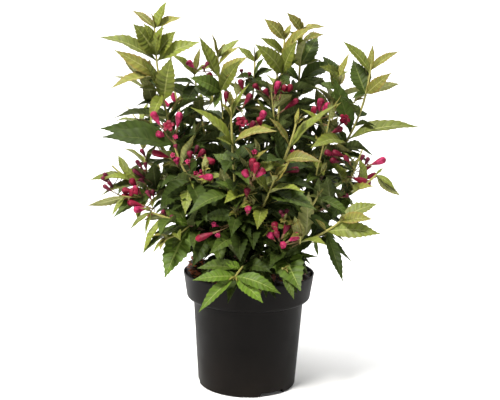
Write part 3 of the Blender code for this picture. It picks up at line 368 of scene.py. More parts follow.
OPEN_SKY = (
    (153, 306, 184, 324), (164, 339, 199, 364), (-199, 401, -149, 430), (-208, 307, -191, 344),
    (129, 428, 137, 464), (169, 401, 210, 435), (172, 344, 188, 373), (155, 346, 170, 378),
    (102, 140, 127, 182), (-56, 387, -33, 407), (-19, 475, -2, 486), (74, 415, 88, 428),
    (137, 364, 149, 382), (119, 265, 127, 276), (139, 262, 155, 280), (-145, 263, -135, 272),
    (-111, 417, -97, 434), (161, 271, 180, 280), (93, 181, 110, 206), (-156, 200, -144, 218),
    (-199, 407, -188, 418), (179, 321, 211, 367), (160, 346, 183, 360), (-94, 155, -73, 187),
    (79, 162, 90, 181), (159, 389, 189, 409), (-132, 405, -111, 420), (-113, 418, -96, 431),
    (127, 424, 150, 449), (149, 309, 190, 324), (-178, 333, -158, 345), (-208, 298, -189, 310),
    (-175, 293, -159, 306), (82, 178, 101, 205), (167, 459, 184, 485), (120, 203, 141, 221),
    (-86, 315, -73, 327), (153, 465, 173, 487), (54, 188, 73, 212), (73, 209, 96, 230),
    (180, 457, 207, 478), (148, 343, 170, 354),
)
CLUSTERS = (
    ("back_left", 0.60, (-120, 140, 392), 5),
    ("back_left", 0.35, (-98, 96, 340), 4),
    ("back_left_low", 0.60, (-160, 110, 282), 5),
    ("back_centre", 0.55, (30, 152, 402), 6),
    ("back_centre", 0.30, (8, 130, 350), 5),
    ("back_right", 0.55, (134, 128, 394), 5),
    ("back_right", 0.30, (92, 120, 350), 4),
    ("back_low", 0.70, (-36, 180, 282), 5),
    ("back_low_right", 0.60, (60, 174, 258), 4),
    ("back_right_low", 0.70, (168, 108, 290), 5),
)
print("placed leaves:", sum(map(len, PLACED_LEAVES.values())))
print("placed buds:", sum(map(len, PLACED_BUDS.values())), "windows:", len(OPEN_SKY))

# %% [markdown]
# ## Paths
# A living shoot has no straight stretch: it leaves its parent at one angle and turns to the
# light. A cubic curve with two free handles draws that bend, so each limb and shoot is one.

# %% Curves and places along them
FREE_HANDLE = 0.35
LEAN_APART = 0.35


def bezier(start, first, second, end, steps):
    """Evenly stepped points of one cubic curve."""
    points = []
    for step in range(steps + 1):
        t = step / steps
        s = 1 - t
        points.append(start * s**3 + first * (3 * s * s * t) + second * (3 * s * t * t) + end * t**3)
    return points


def rising(start, end, rise):
    """The direction from one point to another, drawn upwards by some share."""
    return ((end - start).normalized() + Vector((0, 0, rise))).normalized()


def path_length(path):
    return sum((b - a).length for a, b in zip(path, path[1:]))


def along(path, share):
    """The place and direction at a share of a path's length."""
    lengths = [(b - a).length for a, b in zip(path, path[1:])]
    goal = min(max(share, 0), 1) * sum(lengths)
    for index, length in enumerate(lengths):
        if goal <= length or index == len(lengths) - 1:
            step = path[index + 1] - path[index]
            return path[index] + step * min(1, goal / length), step.normalized()
        goal -= length


def cane_path(name, steps=5):
    """A cane leaves the dome square to it and curves over to its own tip."""
    tip, compass, slope = CANES[name]
    compass, slope = math.radians(compass), math.radians(slope)
    level = math.cos(slope)
    out = Vector((level * math.cos(compass), level * math.sin(compass), math.sin(slope)))
    start = Vector((0, 0, COMPOST_TOP + CLEAR + DOME_HEIGHT)) + out * (STEM_DOME + CLEAR)
    end = Vector(tip) * MM
    length = (end - start).length
    back = rising(start, end, 0.5) * length * FREE_HANDLE
    return bezier(start, start + out * length * FREE_HANDLE, end - back, end, steps)


def leader_path(name, steps=24):
    """The leading shoot of a mass starts on its cane's end face, beside its neighbours."""
    cane, tip, rise, _, _ = MASSES[name]
    path = cane_path(cane)
    ahead = (path[-1] - path[-2]).normalized()
    neighbours = [mass for mass in MASSES if MASSES[mass][0] == cane]
    end = Vector(tip) * MM
    start = path[-1] + ahead * CLEAR
    if len(neighbours) > 1:
        middle = sum((Vector(MASSES[mass][1]) for mass in neighbours), Vector()) / len(neighbours)
        apart = end - middle * MM
        apart = (apart - ahead * apart.dot(ahead)).normalized()
        start += apart * (LEADER_FOOT + CLEAR) * (1.0 if len(neighbours) == 2 else 1.3)
        ahead = (ahead + apart * LEAN_APART).normalized()
    length = (end - start).length
    back = rising(start, end, rise) * length * (0.25 + 0.05 * rise)
    return bezier(start, start + ahead * length * 0.3, end - back, end, steps)


leaders = {name: leader_path(name) for name in MASSES}
print("longest leading shoot in mm:", round(max(map(path_length, leaders.values())) / MM))

# %% [markdown]
# ## Growing the plant
# Every leaf is kept as a few facts, its root, tip, width, upper side and age, and is turned
# into faces only at the end. A leaf that would run through one already grown is turned a
# little or left out, as crowded buds are on the plant.

# %% The lists that growth fills
NODE_STEPS = (6, 28, 60, 94, 126, 158, 190, 220)
LENGTH_AT_NODE = (0.56, 0.84, 1.0, 1.0, 0.98, 0.92, 0.9, 0.86)
OPENING_AT_NODE = (26, 46, 58, 66, 70, 74, 78, 80)
TRIES = (0, 24, -24, 48, -48)
# 'shaded' is not an age: it is painted shade for leaves deep in the crown
AGES_AND_SHADE = ("tip", "fresh", "grown", "shaded", "lush")
low_corner, high_corner = cad_box
leaves = []
twigs = []
buds = []
blades = []
bud_heads = []
PAST_LEAF = 100 * MM
BEFORE_LEAF = 5 * MM
BUD_HALF_WIDTH = 5 * MM
LOWEST_LEAF = 128 * MM
SEEN_FROM = Vector((-0.0006, -1.2, 0.452))
print("room for growth in mm:", [round((b - a) / MM) for a, b in zip(low_corner, high_corner)])


# %% [markdown]
# A leaf is tested as a plain blade of two faces. Comparing each blade with all others
# would be slow, so only those whose surrounding spheres meet are compared face by face.
# A measured leaf always stays. One of the rule also has to keep out of the windows, and out
# of the lines of sight from the camera to the measured buds. A bud that a measured leaf
# would hide comes forward on its line of sight until it stands just before that leaf.

# %% Testing for room
def blade_tree(root, tip, width, up):
    """A search tree of the leaf's rough shape, without its stalk."""
    line = tip - root
    side = line.cross(up).normalized() * width * 0.36
    near, middle = root + line * 0.2, root + line * 0.45
    lift = side.cross(line).normalized() * line.length * 0.1
    points = [near, middle + side + lift, middle - side + lift, root + line * 0.93]
    return BVHTree.FromPolygons(points, [(0, 1, 2), (1, 3, 2)])


def in_sight(point):
    """The point itself, or a place on the same line of sight just in front of what hides it."""
    sight = point - SEEN_FROM
    for _, _, tree in blades:
        hit = tree.ray_cast(SEEN_FROM, sight, (point - SEEN_FROM).length)[0]
        if hit and (hit - point).length < PAST_LEAF:
            point = hit - sight.normalized() * BEFORE_LEAF
    return point


def hides_a_bud(tree):
    """Whether a blade stands between a measured bud and the place it was seen from."""
    sights = (head - SEEN_FROM for head in bud_heads)
    return any(tree.ray_cast(SEEN_FROM, sight, sight.length)[0] for sight in sights)


def in_open_sky(point):
    """Whether a point stands in a window, as seen from the camera."""
    sight = point - SEEN_FROM
    seen = (SEEN_FROM + sight * (-SEEN_FROM.y / sight.y)) / MM
    return any(x < seen.x < far_x and z < seen.z < far_z for x, z, far_x, far_z in OPEN_SKY)


def free_blade(root, tip, width, up, placed):
    """The blade's row in the list, or nothing if it hides a bud or crosses an earlier blade."""
    tree = blade_tree(root, tip, width, up)
    centre, reach = (root + tip) / 2, (tip - root).length / 2
    if placed:
        return centre, reach, tree
    if hides_a_bud(tree):
        return None
    for other_centre, other_reach, other in blades:
        if (centre - other_centre).length < reach + other_reach and tree.overlap(other):
            return None
    return centre, reach, tree


def inside_crown(tip):
    """Whether a tip stays in the solids' room and out of the pot."""
    for low, value, high in zip(low_corner, tip, high_corner):
        if not low - 2 * MM < value < high + 2 * MM:
            return False
    away = math.hypot(tip.x, tip.y)
    return not (away < RIM_RADIUS + 5 * MM and tip.z < POT_HEIGHT + 3 * MM) and tip.z > LOWEST_LEAF


print("blades so far:", len(blades))

# %% [markdown]
# Leaves hold their upper side to the light, so each blade faces up and a little outward,
# whatever way its stalk points. A measured leaf is turned to the front by its own degrees.
# The low left shoots stand in the light, so the rule's leaves there take the next lighter
# colour as painted light: olive becomes yellow-green, and painted shade becomes olive.

# %% Adding one leaf
LIGHT_MASSES = ("left_low", "left_sprays")
PAINTED_LIGHT_STEP = {"grown": "fresh", "shaded": "grown"}
SKY_SHARES = (0.3, 0.5, 0.75, 1)


def facing(root, ahead):
    """The way that a leaf's upper side looks."""
    out = Vector((root.x, root.y, 0))
    out = out.normalized() if out.length > 10 * MM else Vector((0, -1, 0))
    if ahead.z > 0.8:
        return Vector((-ahead.x, -ahead.y, 0.2)) - out * 0.15
    return Vector((0, 0, 1)) + out * 0.6


def facing_front(ahead, degrees):
    """An upper side that is turned from up towards the front by some degrees."""
    up = Vector((0, 0, 1)) - ahead * ahead.z
    if up.length < 0.25:
        up = Vector((-math.copysign(1, ahead.x), 0, 0.3))
    turn = math.radians(degrees)
    return up.normalized() * math.cos(turn) + Vector((0, -1, 0)) * math.sin(turn)


def add_leaf(mass, root, tip, width, age_and_shade, rng, up=None):
    """Keeps a leaf if it has room, and says whether it did."""
    ahead = (tip - root).normalized()
    placed = up is not None
    if not placed:
        up = facing(root, ahead)
        if not inside_crown(tip) or any(in_open_sky(root.lerp(tip, share)) for share in SKY_SHARES):
            return False
        # painted light: the leaves of the lit masses take the next lighter colour
        if mass in LIGHT_MASSES:
            age_and_shade = PAINTED_LIGHT_STEP.get(age_and_shade, age_and_shade)
    room = free_blade(root, tip, width, up, placed)
    if room is None:
        return False
    blades.append(room)
    leaves.append((mass, root, tip, width, up, age_and_shade, rng.random()))
    return True


print("a leaf that points right faces:", facing(Vector((0.1, 0, 0.3)), Vector((1, 0, 0)))[:])

# %% [markdown]
# The rule of crossed pairs is the heart of the plant. Going down from a shoot's tip, pairs
# get longer, open wider and stand further apart, and each is turned a quarter turn from
# the one above. The youngest leaves are yellow-green and the older ones olive, and the
# lowest pairs, deep in the crown, take the near black-green of painted shade. Where a
# measured leaf stands, the rule's own pair is left out.

# %% Crossed pairs down a shoot
NEAR_PLACED = 14 * MM
TURN_SPREAD, LEAN_SPREAD = 12, 6
SIZE_SPREAD = (0.86, 1.04)
MOST_DOWN = -0.35


def node_places(path, free, first, least):
    """Number, place and direction of each leaf node, leaving out those near placed leaves."""
    total = path_length(path)
    for index, back in enumerate(NODE_STEPS):
        share = 1 - back * MM / total
        room = all(abs(share - other) * total >= NEAR_PLACED for other in free)
        if index >= first and share >= least and room:
            yield index, *along(path, share)


def spoke_of(ahead, degrees):
    """A direction square to another, turned round it from the X axis."""
    across = (Vector((1, 0, 0)) - ahead * ahead.x).normalized()
    return Quaternion(ahead, math.radians(degrees)) @ across


def leaf_pair(mass, place, ahead, turn, opening, length, broad, age_and_shade, droop, rng):
    """Two leaves that stand opposite each other."""
    for half in (0, 180):
        spoke = spoke_of(ahead, turn + half + rng.uniform(-TURN_SPREAD, TURN_SPREAD))
        lean = math.radians(opening + rng.uniform(-LEAN_SPREAD, LEAN_SPREAD))
        out = ahead * math.cos(lean) + spoke * math.sin(lean)
        out.z = max(out.z, MOST_DOWN)
        size = length * rng.uniform(*SIZE_SPREAD)
        for turn_more in TRIES:
            tried = Quaternion(ahead, math.radians(turn_more)) @ out.normalized()
            tip = place + tried * size - Vector((0, 0, droop * size))
            if add_leaf(mass, place, tip, size * broad, age_and_shade, rng):
                break


def pairs(mass, path, longest, turn, rng, most=8, older=0, free=()):
    """Crossed pairs of leaves down a shoot from its tip."""
    for index, place, ahead in node_places(path, free, 0, 0.08):
        if index < most:
            age_and_shade = AGES_AND_SHADE[min(3, (index + 1) // 2 + older)]
            length = longest * LENGTH_AT_NODE[index] * MM
            opening, droop = OPENING_AT_NODE[index], 0.05 + 0.03 * index
            broad = rng.uniform(0.40, 0.52)
            leaf_pair(mass, place, ahead, turn + 90 * index, opening, length, broad, age_and_shade, droop, rng)


def tip_tuft(mass, path, longest, turn, rng):
    """The unopened leaves at a shoot's tip: two small narrow pairs, almost upright."""
    end, ahead = path[-1], (path[-1] - path[-2]).normalized()
    for pair, (share, opening) in enumerate(((0.26, 16), (0.40, 26))):
        length = longest * share * MM
        leaf_pair(mass, end, ahead, turn + 90 * (pair + 1), opening, length, 0.32, "tip", 0, rng)


print("node steps in mm:", NODE_STEPS)

# %% [markdown]
# Twigs are kept as paths with their two radii and their skin. Side twigs start in the axils,
# the corners between leaf and shoot, and bear smaller pairs; the shortest ones only a tuft.

# %% Side twigs and their leaves
AXIL_SHOOT = (16, 44)


def add_twig(root, tip, bow, foot, end):
    """A slender green side twig that bows a little under its own weight."""
    middle = root.lerp(tip, 0.45) + Vector((0, 0, -bow))
    path = bezier(root, middle, middle.lerp(tip, 0.5), tip, 7)
    twigs.append((path, foot * MM, end * MM, "green"))
    return path


def axil_shoots(mass, path, longest, turn, rng, chance, free=()):
    """Short shoots in the axils of a path's older leaf pairs."""
    for index, place, ahead in node_places(path, free, 2, 0.1):
        for half in (0, 180):
            if rng.random() > chance:
                continue
            spoke = spoke_of(ahead, turn + 90 * index + half + rng.uniform(-30, 30))
            tip = place + (ahead * 0.75 + spoke).normalized() * rng.uniform(*AXIL_SHOOT) * MM
            if inside_crown(tip) and not in_open_sky(tip):
                twig = add_twig(place, tip, 2 * MM, 1.0, 0.7)
                turn_there = rng.uniform(0, 90)
                pairs(mass, twig, longest * 0.66, turn_there, rng, 2, rng.choice((0, 1, 1, 2)))
                tip_tuft(mass, twig, longest * 0.7, turn_there, rng)


print("twigs so far:", len(twigs))

# %% [markdown]
# Flowers stand on thin stalks that leave the nearest shoot, but seldom from far below. Those
# that face the front have rows in the table; at the back they come in loose clusters.

# %% Buds on their stalks
LONG_STALK = 18 * MM


def add_bud(foot, ahead, length, kind, rng):
    """One bud; its stalk is drawn when all the shoots are there."""
    buds.append((foot, ahead, length, kind, rng.random()))


def add_stalks():
    """The thin stalk of each bud leaves the closest shoot, a little lower down."""
    places = [point[:] for path, *_ in twigs for point in path[1:]]
    places = np.array(places + [point[:] for path in leaders.values() for point in path[3:]])
    for foot, ahead, *_ in buds:
        apart = places - np.array(foot[:])
        cost = np.linalg.norm(apart, axis=1) + np.maximum(apart[:, 2], 0) * 0.3
        cost += np.maximum(-apart[:, 2] - LONG_STALK, 0) * 2
        root = Vector(places[cost.argmin()])
        bow = foot - ahead * min(8 * MM, (foot - root).length * 0.4)
        twigs.append((bezier(root, root.lerp(bow, 0.5), bow, foot, 6), 0.75 * MM, 0.6 * MM, "red"))


def add_cluster(mass, share, middle, count, rng):
    """A spread of buds that stand round one place."""
    root, _ = along(leaders[mass], share)
    ahead = (middle - root).normalized()
    first = ahead.orthogonal().normalized()
    for number in range(count):
        side = Quaternion(ahead, math.tau * number / count + rng.uniform(-0.4, 0.4)) @ first
        out = (ahead + side * rng.uniform(0.3, 0.9) + Vector((0, 0.2, 0.2))).normalized()
        kind = rng.choice(("club", "club", "bright", "small", "open"))
        add_bud(middle + side * 3 * MM, out, rng.uniform(18, 30) * MM, kind, rng)


def paths_of(name):
    """The leading shoot of a mass and its side shoots from the table, as numbered there."""
    paths = [leaders[name]]
    for owner, share, tip in SIDE_SHOOTS:
        if owner == name:
            root, _ = along(leaders[name], share)
            paths.append(add_twig(root, Vector(tip) * MM, 6 * MM, 1.4, 1.0))
    return paths


print("placed clusters:", len(CLUSTERS))

# %% [markdown]
# All the masses first grow their measured leaves, then their buds. The rule then fills the
# places that are still free, and last come the big leaves deep in the crown, coloured with
# painted shade: pairs along the inner part of each leading shoot, and then along the canes.

# %% Growing all the masses
DEEP_START = 6 * MM
DEEP_STEP = 13 * MM
DEEP_SHARE = 0.72
DEEP_LEAF = (44, 68)
CANE_LEAF = 72
CANE_PAIRS = 8


def grow_placed(name, paths):
    """The leaves that have rows of their own."""
    rng = random.Random(name)
    for number, path in enumerate(paths):
        for share, x, y, z, broad, front, age_and_shade in PLACED_LEAVES.get((name, number), ()):
            root, _ = along(path, share / 100)
            line = Vector((x, y, z)) * MM - root
            up = facing_front(line.normalized(), front)
            add_leaf(name, root, root + line, line.length * (broad / 100), age_and_shade, rng, up)


def place_buds(name):
    """The buds that have rows of their own, each where no measured leaf hides it."""
    rng = random.Random("buds of " + name)
    for x, y, z, angle, length, kind in PLACED_BUDS.get(name, ()):
        turn_up = math.radians(angle)
        lean = {"end": -0.9, "star": -1.6, "open": -1.6}.get(kind, rng.uniform(-0.5, 0.1))
        ahead = Vector((math.cos(turn_up), lean, math.sin(turn_up)))
        head = in_sight(Vector((x, y, z)) * MM)
        foot = head - ahead * length * MM
        for way in (-1, 0, 1):
            aside = Vector((way * BUD_HALF_WIDTH, 0, 0))
            bud_heads.extend((head + aside, head.lerp(foot, 0.5) + aside))
        add_bud(foot, ahead.normalized(), ahead.length * length * MM, kind, rng)
    for owner, share, middle, count in CLUSTERS:
        if owner == name:
            add_cluster(name, share, Vector(middle) * MM, count, rng)


def grow_rest(name, paths):
    """The leaves and side twigs that follow the rule."""
    _, _, _, longest, turn = MASSES[name]
    rng = random.Random("rest of " + name)
    for number, path in enumerate(paths):
        free = [row[0] / 100 for row in PLACED_LEAVES.get((name, number), ())]
        size = longest * (0.8 if number else 1.0)
        pairs(name, path, size, turn + 40 * number, rng, 5 if number else 8, 0, free)
        axil_shoots(name, path, size, turn, rng, 0.7, free)
        tip_tuft(name, path, size * (0.5 if free else 0.8), turn, rng)


def grow_deep(name):
    """Pairs darkened with painted shade along the inner part of a leading shoot."""
    rng = random.Random("deep " + name)
    total = path_length(leaders[name])
    for number in range(int(total * DEEP_SHARE / DEEP_STEP)):
        place, ahead = along(leaders[name], (DEEP_START + number * DEEP_STEP) / total)
        size = rng.uniform(*DEEP_LEAF) * MM
        leaf_pair(name, place, ahead, 70 * number + 20, 66, size, 0.5, "shaded", 0.12, rng)


def grow_on_cane(name):
    """Pairs darkened with painted shade down a cane from its tip."""
    rng = random.Random(name)
    path = cane_path(name, 20)
    owner = next(mass for mass in MASSES if MASSES[mass][0] == name)
    for number in range(CANE_PAIRS):
        place, ahead = along(path, 1 - 0.085 * number)
        size = CANE_LEAF * rng.uniform(0.7, 1) * MM
        leaf_pair(owner, place, ahead, 90 * number + 30, 62, size, 0.52, "shaded", 0.1, rng)


all_paths = {mass_name: paths_of(mass_name) for mass_name in MASSES}
for mass_name, paths in all_paths.items():
    grow_placed(mass_name, paths)
for mass_name in MASSES:
    place_buds(mass_name)
for mass_name, paths in all_paths.items():
    grow_rest(mass_name, paths)
for mass_name in MASSES:
    grow_deep(mass_name)
for cane_name in CANES:
    grow_on_cane(cane_name)
add_stalks()
print("leaves:", len(leaves), "twigs:", len(twigs), "buds:", len(buds))

# %% [markdown]
# ## The leaf
# A weigela leaf is a long oval with a drawn-out tip, folded like a shallow gutter along its
# pale midrib. The side veins are sunken, so the blade between them swells, and the edge has
# fine teeth that point forward. Rows of points that run slantwise, as the veins do, give
# all of that with few faces. Each leaf is folded, waved, bent and rolled by its own dice.
# The lower side is a second skin with a paler colour.

# %% A leaf's grid of points
COLUMNS = np.array([-1.0, -0.5, 0.0, 0.5, 1.0])
SLANT = 0.10
TOOTH = 0.06
THICK = 0.3 * MM
LARGE_ROWS = 20
SMALL_ROWS = 8
BREADTH = 0.88
FOLD_DEGREES = 24
SWELL, SINK = 0.14, 0.05
WAVE, WAVES = 0.09, 2.2
TWIST, ROLL = 0.6, 0.4
SHARES = (0, 0.04, 0.09, 0.16, 0.25, 0.35, 0.46, 0.57, 0.68, 0.78, 0.86, 0.93, 1)
HALVES = (0.03, 0.06, 0.34, 0.64, 0.87, 0.99, 1.0, 0.91, 0.74, 0.52, 0.30, 0.13, 0.02)


def outline(share):
    """Half the blade's width along its length, 1 at the widest."""
    return np.interp(np.clip(share, 0, 1), SHARES, HALVES)


def leaf_points(group, rows):
    """The upper and lower skins of many leaves at once, with each point's place in the leaf."""
    count = len(group)
    root = np.array([leaf[1][:] for leaf in group])
    tip = np.array([leaf[2][:] for leaf in group])
    width = np.array([leaf[3] for leaf in group])
    up = np.array([leaf[4][:] for leaf in group])
    dice = np.random.default_rng(7).random((count, 6, 1, 1))
    line = tip - root
    length = np.linalg.norm(line, axis=1)
    ahead = line / length[:, None]
    side = np.cross(ahead, up)
    side /= np.linalg.norm(side, axis=1)[:, None]
    top = np.cross(side, ahead)
    row = np.arange(rows + 1)
    base = (row / rows)[:, None]
    reach = np.abs(COLUMNS)[None, :]
    odd = (row % 2 == 1)[:, None]
    slant = SLANT * np.sin(np.pi * base) ** 0.8
    share = base + slant * reach + np.where(odd & (reach == 1), 0.015, 0)
    teeth = np.where(odd, 1 + TOOTH, 1 - TOOTH)
    half = outline(base + slant) * np.where(reach == 1, teeth, 1.0)
    half = half[None] * (width / 2 * BREADTH)[:, None, None]
    share = share[None]
    reach = reach[None]
    fold = np.radians(FOLD_DEGREES + FOLD_DEGREES * dice[:, 0]) * (1 - 0.3 * share)
    swell = np.where(odd & (reach == 0.5), SWELL, -SINK * (reach == 0.5))
    wave = WAVE * np.sin(2 * np.pi * (WAVES * share + dice[:, 1])) * reach**2
    rise = (reach - 0.4) * half * np.sin(fold) + half * (swell + wave - 0.12 * reach**2)
    across = COLUMNS * half * np.cos(fold)
    level = (1 - ahead[:, 2] ** 2)[:, None, None]
    bend = (0.02 + (0.09 + 0.07 * dice[:, 2]) * level) * np.sin(np.pi * share**0.9)
    sway = 0.05 * (dice[:, 3] - 0.5) * np.sin(np.pi * share)
    roll = (dice[:, 4] - 0.5) * TWIST * share + (dice[:, 5] - 0.5) * ROLL
    turned_across = across * np.cos(roll) - rise * np.sin(roll)
    turned_rise = across * np.sin(roll) + rise * np.cos(roll)
    size = length[:, None, None, None]
    points = root[:, None, None] + ahead[:, None, None] * size * share[..., None]
    points = points + side[:, None, None] * (turned_across[..., None] + size * sway[..., None])
    points = points + top[:, None, None] * (turned_rise[..., None] + size * bend[..., None])
    down = side[:, None, None] * np.sin(roll)[..., None] - top[:, None, None] * np.cos(roll)[..., None]
    tone = np.array([leaf[6] for leaf in group])[:, None, None]
    facts = np.stack(np.broadcast_arrays(base[None], COLUMNS[None, None], tone), axis=-1)
    return np.stack([points, points + down * THICK], axis=1), np.stack([facts, facts], axis=1)


def leaf_faces(rows):
    """The quads of one leaf: upper skin, lower skin and the edge that joins them."""
    wide = len(COLUMNS)
    skin = (rows + 1) * wide
    faces = []
    for r in range(rows):
        for c in range(wide - 1):
            quad = [r * wide + c, r * wide + c + 1, (r + 1) * wide + c + 1, (r + 1) * wide + c]
            faces.append(quad)
            faces.append([corner + skin for corner in (quad[0], quad[3], quad[2], quad[1])])
    rim = list(range(wide)) + [r * wide + wide - 1 for r in range(1, rows + 1)]
    rim += [rows * wide + c for c in range(wide - 2, -1, -1)] + [r * wide for r in range(rows - 1, 0, -1)]
    for here, after in zip(rim, rim[1:] + rim[:1]):
        faces.append((after, here, here + skin, after + skin))
    is_lower = [min(face) >= skin for face in faces]
    return np.array(faces), np.array(is_lower)


print("faces in a large leaf:", len(leaf_faces(LARGE_ROWS)[0]))
print("faces in a small leaf:", len(leaf_faces(SMALL_ROWS)[0]))

# %% [markdown]
# ## Surfaces
# One shader group serves all leaves. It reads each point's place in its leaf, so it can
# draw the midrib and the side veins, swell the blade between them, paint light on each swell
# and shade along the sunken veins, flush the edge of young leaves with red, and let the green
# drift from leaf to leaf and patch to patch.

# %% A shader group for leaves
def new_group(name, inputs, outputs):
    """An empty shader group with named sockets."""
    group = bpy.data.node_groups.new(name, "ShaderNodeTree")
    for label, kind in inputs:
        group.interface.new_socket(name=label, in_out="INPUT", socket_type=kind)
    for label, kind in outputs:
        group.interface.new_socket(name=label, in_out="OUTPUT", socket_type=kind)
    return group, group.nodes.new("NodeGroupInput"), group.nodes.new("NodeGroupOutput")


def fill(tree, node, *links):
    """Links or fills a node's sockets, each from its own (socket, source)."""
    for socket, source in links:
        if isinstance(source, bpy.types.NodeSocket):
            tree.links.new(source, node.inputs[socket])
        else:
            node.inputs[socket].default_value = source


def wire(tree, kind, *links, **values):
    """Adds a node, sets its named values and fills its sockets."""
    node = tree.nodes.new(kind)
    for key, value in values.items():
        setattr(node, key, value)
    fill(tree, node, *links)
    return node


def maths(tree, operation, *values):
    """The output of one maths node."""
    return wire(tree, "ShaderNodeMath", *enumerate(values), operation=operation).outputs[0]


def ramp(tree, value, low, high, first=0.0, last=1.0, step="SMOOTHSTEP"):
    """A step between two values, smooth or straight."""
    ends = (("Value", value), ("From Min", low), ("From Max", high), ("To Min", first), ("To Max", last))
    return wire(tree, "ShaderNodeMapRange", *ends, interpolation_type=step).outputs[0]


def blend(tree, share, first, second):
    """The output of one colour mix."""
    first, second = ((*source, 1) if isinstance(source, tuple) else source for source in (first, second))
    links = (("Factor", share), ("A", first), ("B", second))
    return wire(tree, "ShaderNodeMix", *links, data_type="RGBA").outputs["Result"]


def clouds(tree, scale, detail=2.0, stretch=None):
    """A cloudy mask in the piece's own space."""
    place = wire(tree, "ShaderNodeTexCoord").outputs["Object"]
    if stretch:
        place = wire(tree, "ShaderNodeMapping", ("Vector", place), ("Scale", stretch)).outputs[0]
    links = (("Vector", place), ("Scale", scale), ("Detail", detail))
    return wire(tree, "ShaderNodeTexNoise", *links).outputs["Fac"]


COLOUR, VALUE = "NodeSocketColor", "NodeSocketFloat"
SIDE_VEINS = 8.0
skin, given, put = new_group(
    "leaf_skin",
    [("Blade", COLOUR), ("Vein", COLOUR), ("Flush", VALUE)],
    [("Color", COLOUR), ("Height", VALUE), ("Roughness", VALUE)],
)
facts = wire(skin, "ShaderNodeAttribute", attribute_name="leaf")
split = wire(skin, "ShaderNodeSeparateXYZ", ("Vector", facts.outputs["Vector"]))
reach = maths(skin, "ABSOLUTE", split.outputs["Y"])
between = maths(skin, "PINGPONG", maths(skin, "MULTIPLY", split.outputs["X"], SIDE_VEINS), 0.5)
side_vein = maths(skin, "MULTIPLY", ramp(skin, between, 0.10, 0.0), maths(skin, "SUBTRACT", 1.0, reach))
midrib = ramp(skin, reach, 0.11, 0.03)
vein = maths(skin, "MAXIMUM", midrib, maths(skin, "MULTIPLY", side_vein, 0.75))
pebbles = clouds(skin, 900.0)
drift = maths(skin, "ADD", split.outputs["Z"], clouds(skin, 60.0))
bright = ramp(skin, drift, 0.3, 1.7, 0.66, 1.36)
# painted light and shade: the green is lighter on the swell between side veins and darker beside them
painted_swell_light = ramp(skin, between, 0.0, 0.5, 0.78, 1.14)
tone = maths(skin, "MULTIPLY", bright, painted_swell_light)
green = wire(skin, "ShaderNodeVectorMath", (0, given.outputs["Blade"]), ("Scale", tone), operation="SCALE")
edge = maths(skin, "MULTIPLY", maths(skin, "POWER", reach, 4.0), given.outputs["Flush"])
flushed = blend(skin, edge, green.outputs[0], (0.24, 0.085, 0.03))
veined = blend(skin, maths(skin, "MULTIPLY", vein, 0.8), flushed, given.outputs["Vein"])
sunken = maths(skin, "MULTIPLY", midrib, -0.8)
swelling = maths(skin, "MULTIPLY_ADD", ramp(skin, between, 0.0, 0.5), 0.8, sunken)
height = maths(skin, "MULTIPLY_ADD", pebbles, 0.35, swelling)
roughness = ramp(skin, pebbles, 0.3, 0.7, 0.46, 0.62)
fill(skin, put, ("Color", veined), ("Height", height), ("Roughness", roughness))
print("leaf group nodes:", len(skin.nodes))

# %% [markdown]
# The colours are plain base colours as a painter would mix them: yellow-green for the
# youngest leaves, olive for the rest, and a pale grey-green for the lower sides. The near
# black-green of the 'shaded' row is painted shade for leaves deep in the crown. A row has
# the blade's and the veins' colour, how much the edge is flushed, and the gloss.

# %% Leaf materials
def new_material(name):
    """A material and its node tree."""
    finish = bpy.data.materials.new(name)
    finish.use_nodes = True
    return finish, finish.node_tree


def surface(tree, colour, roughness, specular, height=None, distance=0.0, strength=0.0):
    """Gives the Principled shader its colour, gloss and relief."""
    shader = tree.nodes["Principled BSDF"]
    fill(tree, shader, ("Base Color", colour), ("Roughness", roughness), ("Specular IOR Level", specular))
    if height is not None:
        links = (("Height", height), ("Distance", distance), ("Strength", strength))
        fill(tree, shader, ("Normal", wire(tree, "ShaderNodeBump", *links).outputs["Normal"]))


def leaf_material(name, blade_colour, vein_colour, flush, specular):
    """A leaf's side: the shader group with its own colours, and its relief as bumps."""
    finish, tree = new_material(name)
    links = (("Blade", (*blade_colour, 1)), ("Vein", (*vein_colour, 1)), ("Flush", flush))
    colour, height, roughness = wire(tree, "ShaderNodeGroup", *links, node_tree=skin).outputs
    surface(tree, colour, roughness, specular, height, 0.0006, 0.7)
    return finish


LEAF_COLOURS = {
    "tip": ((0.146, 0.151, 0.027), (0.31, 0.29, 0.095), 0.4, 0.22),
    "fresh": ((0.115, 0.140, 0.018), (0.25, 0.26, 0.075), 0.1, 0.25),
    "grown": ((0.040, 0.062, 0.008), (0.12, 0.15, 0.035), 0.0, 0.17),
    # painted shade: near black-green for leaves deep in the crown
    "shaded": ((0.023, 0.036, 0.006), (0.055, 0.072, 0.018), 0.0, 0.09),
    "lush": ((0.074, 0.126, 0.010), (0.20, 0.25, 0.055), 0.0, 0.22),
    "pale_underside": ((0.175, 0.19, 0.062), (0.34, 0.33, 0.15), 0.2, 0.12),
    "green_underside": ((0.085, 0.11, 0.032), (0.20, 0.22, 0.09), 0.0, 0.12),
}
leaf_finishes = [leaf_material(f"leaf_{name}", *row) for name, row in LEAF_COLOURS.items()]
UNDER_SLOT = {"tip": 5, "fresh": 5, "grown": 6, "shaded": 6, "lush": 5}
print("leaf materials:", [finish.name for finish in leaf_finishes])

# %% [markdown]
# ## From arrays to pieces
# Hundreds of leaves are one mesh, made from arrays of points and faces. That is quick to
# build and easy to move about, and each face still knows its own material slot.

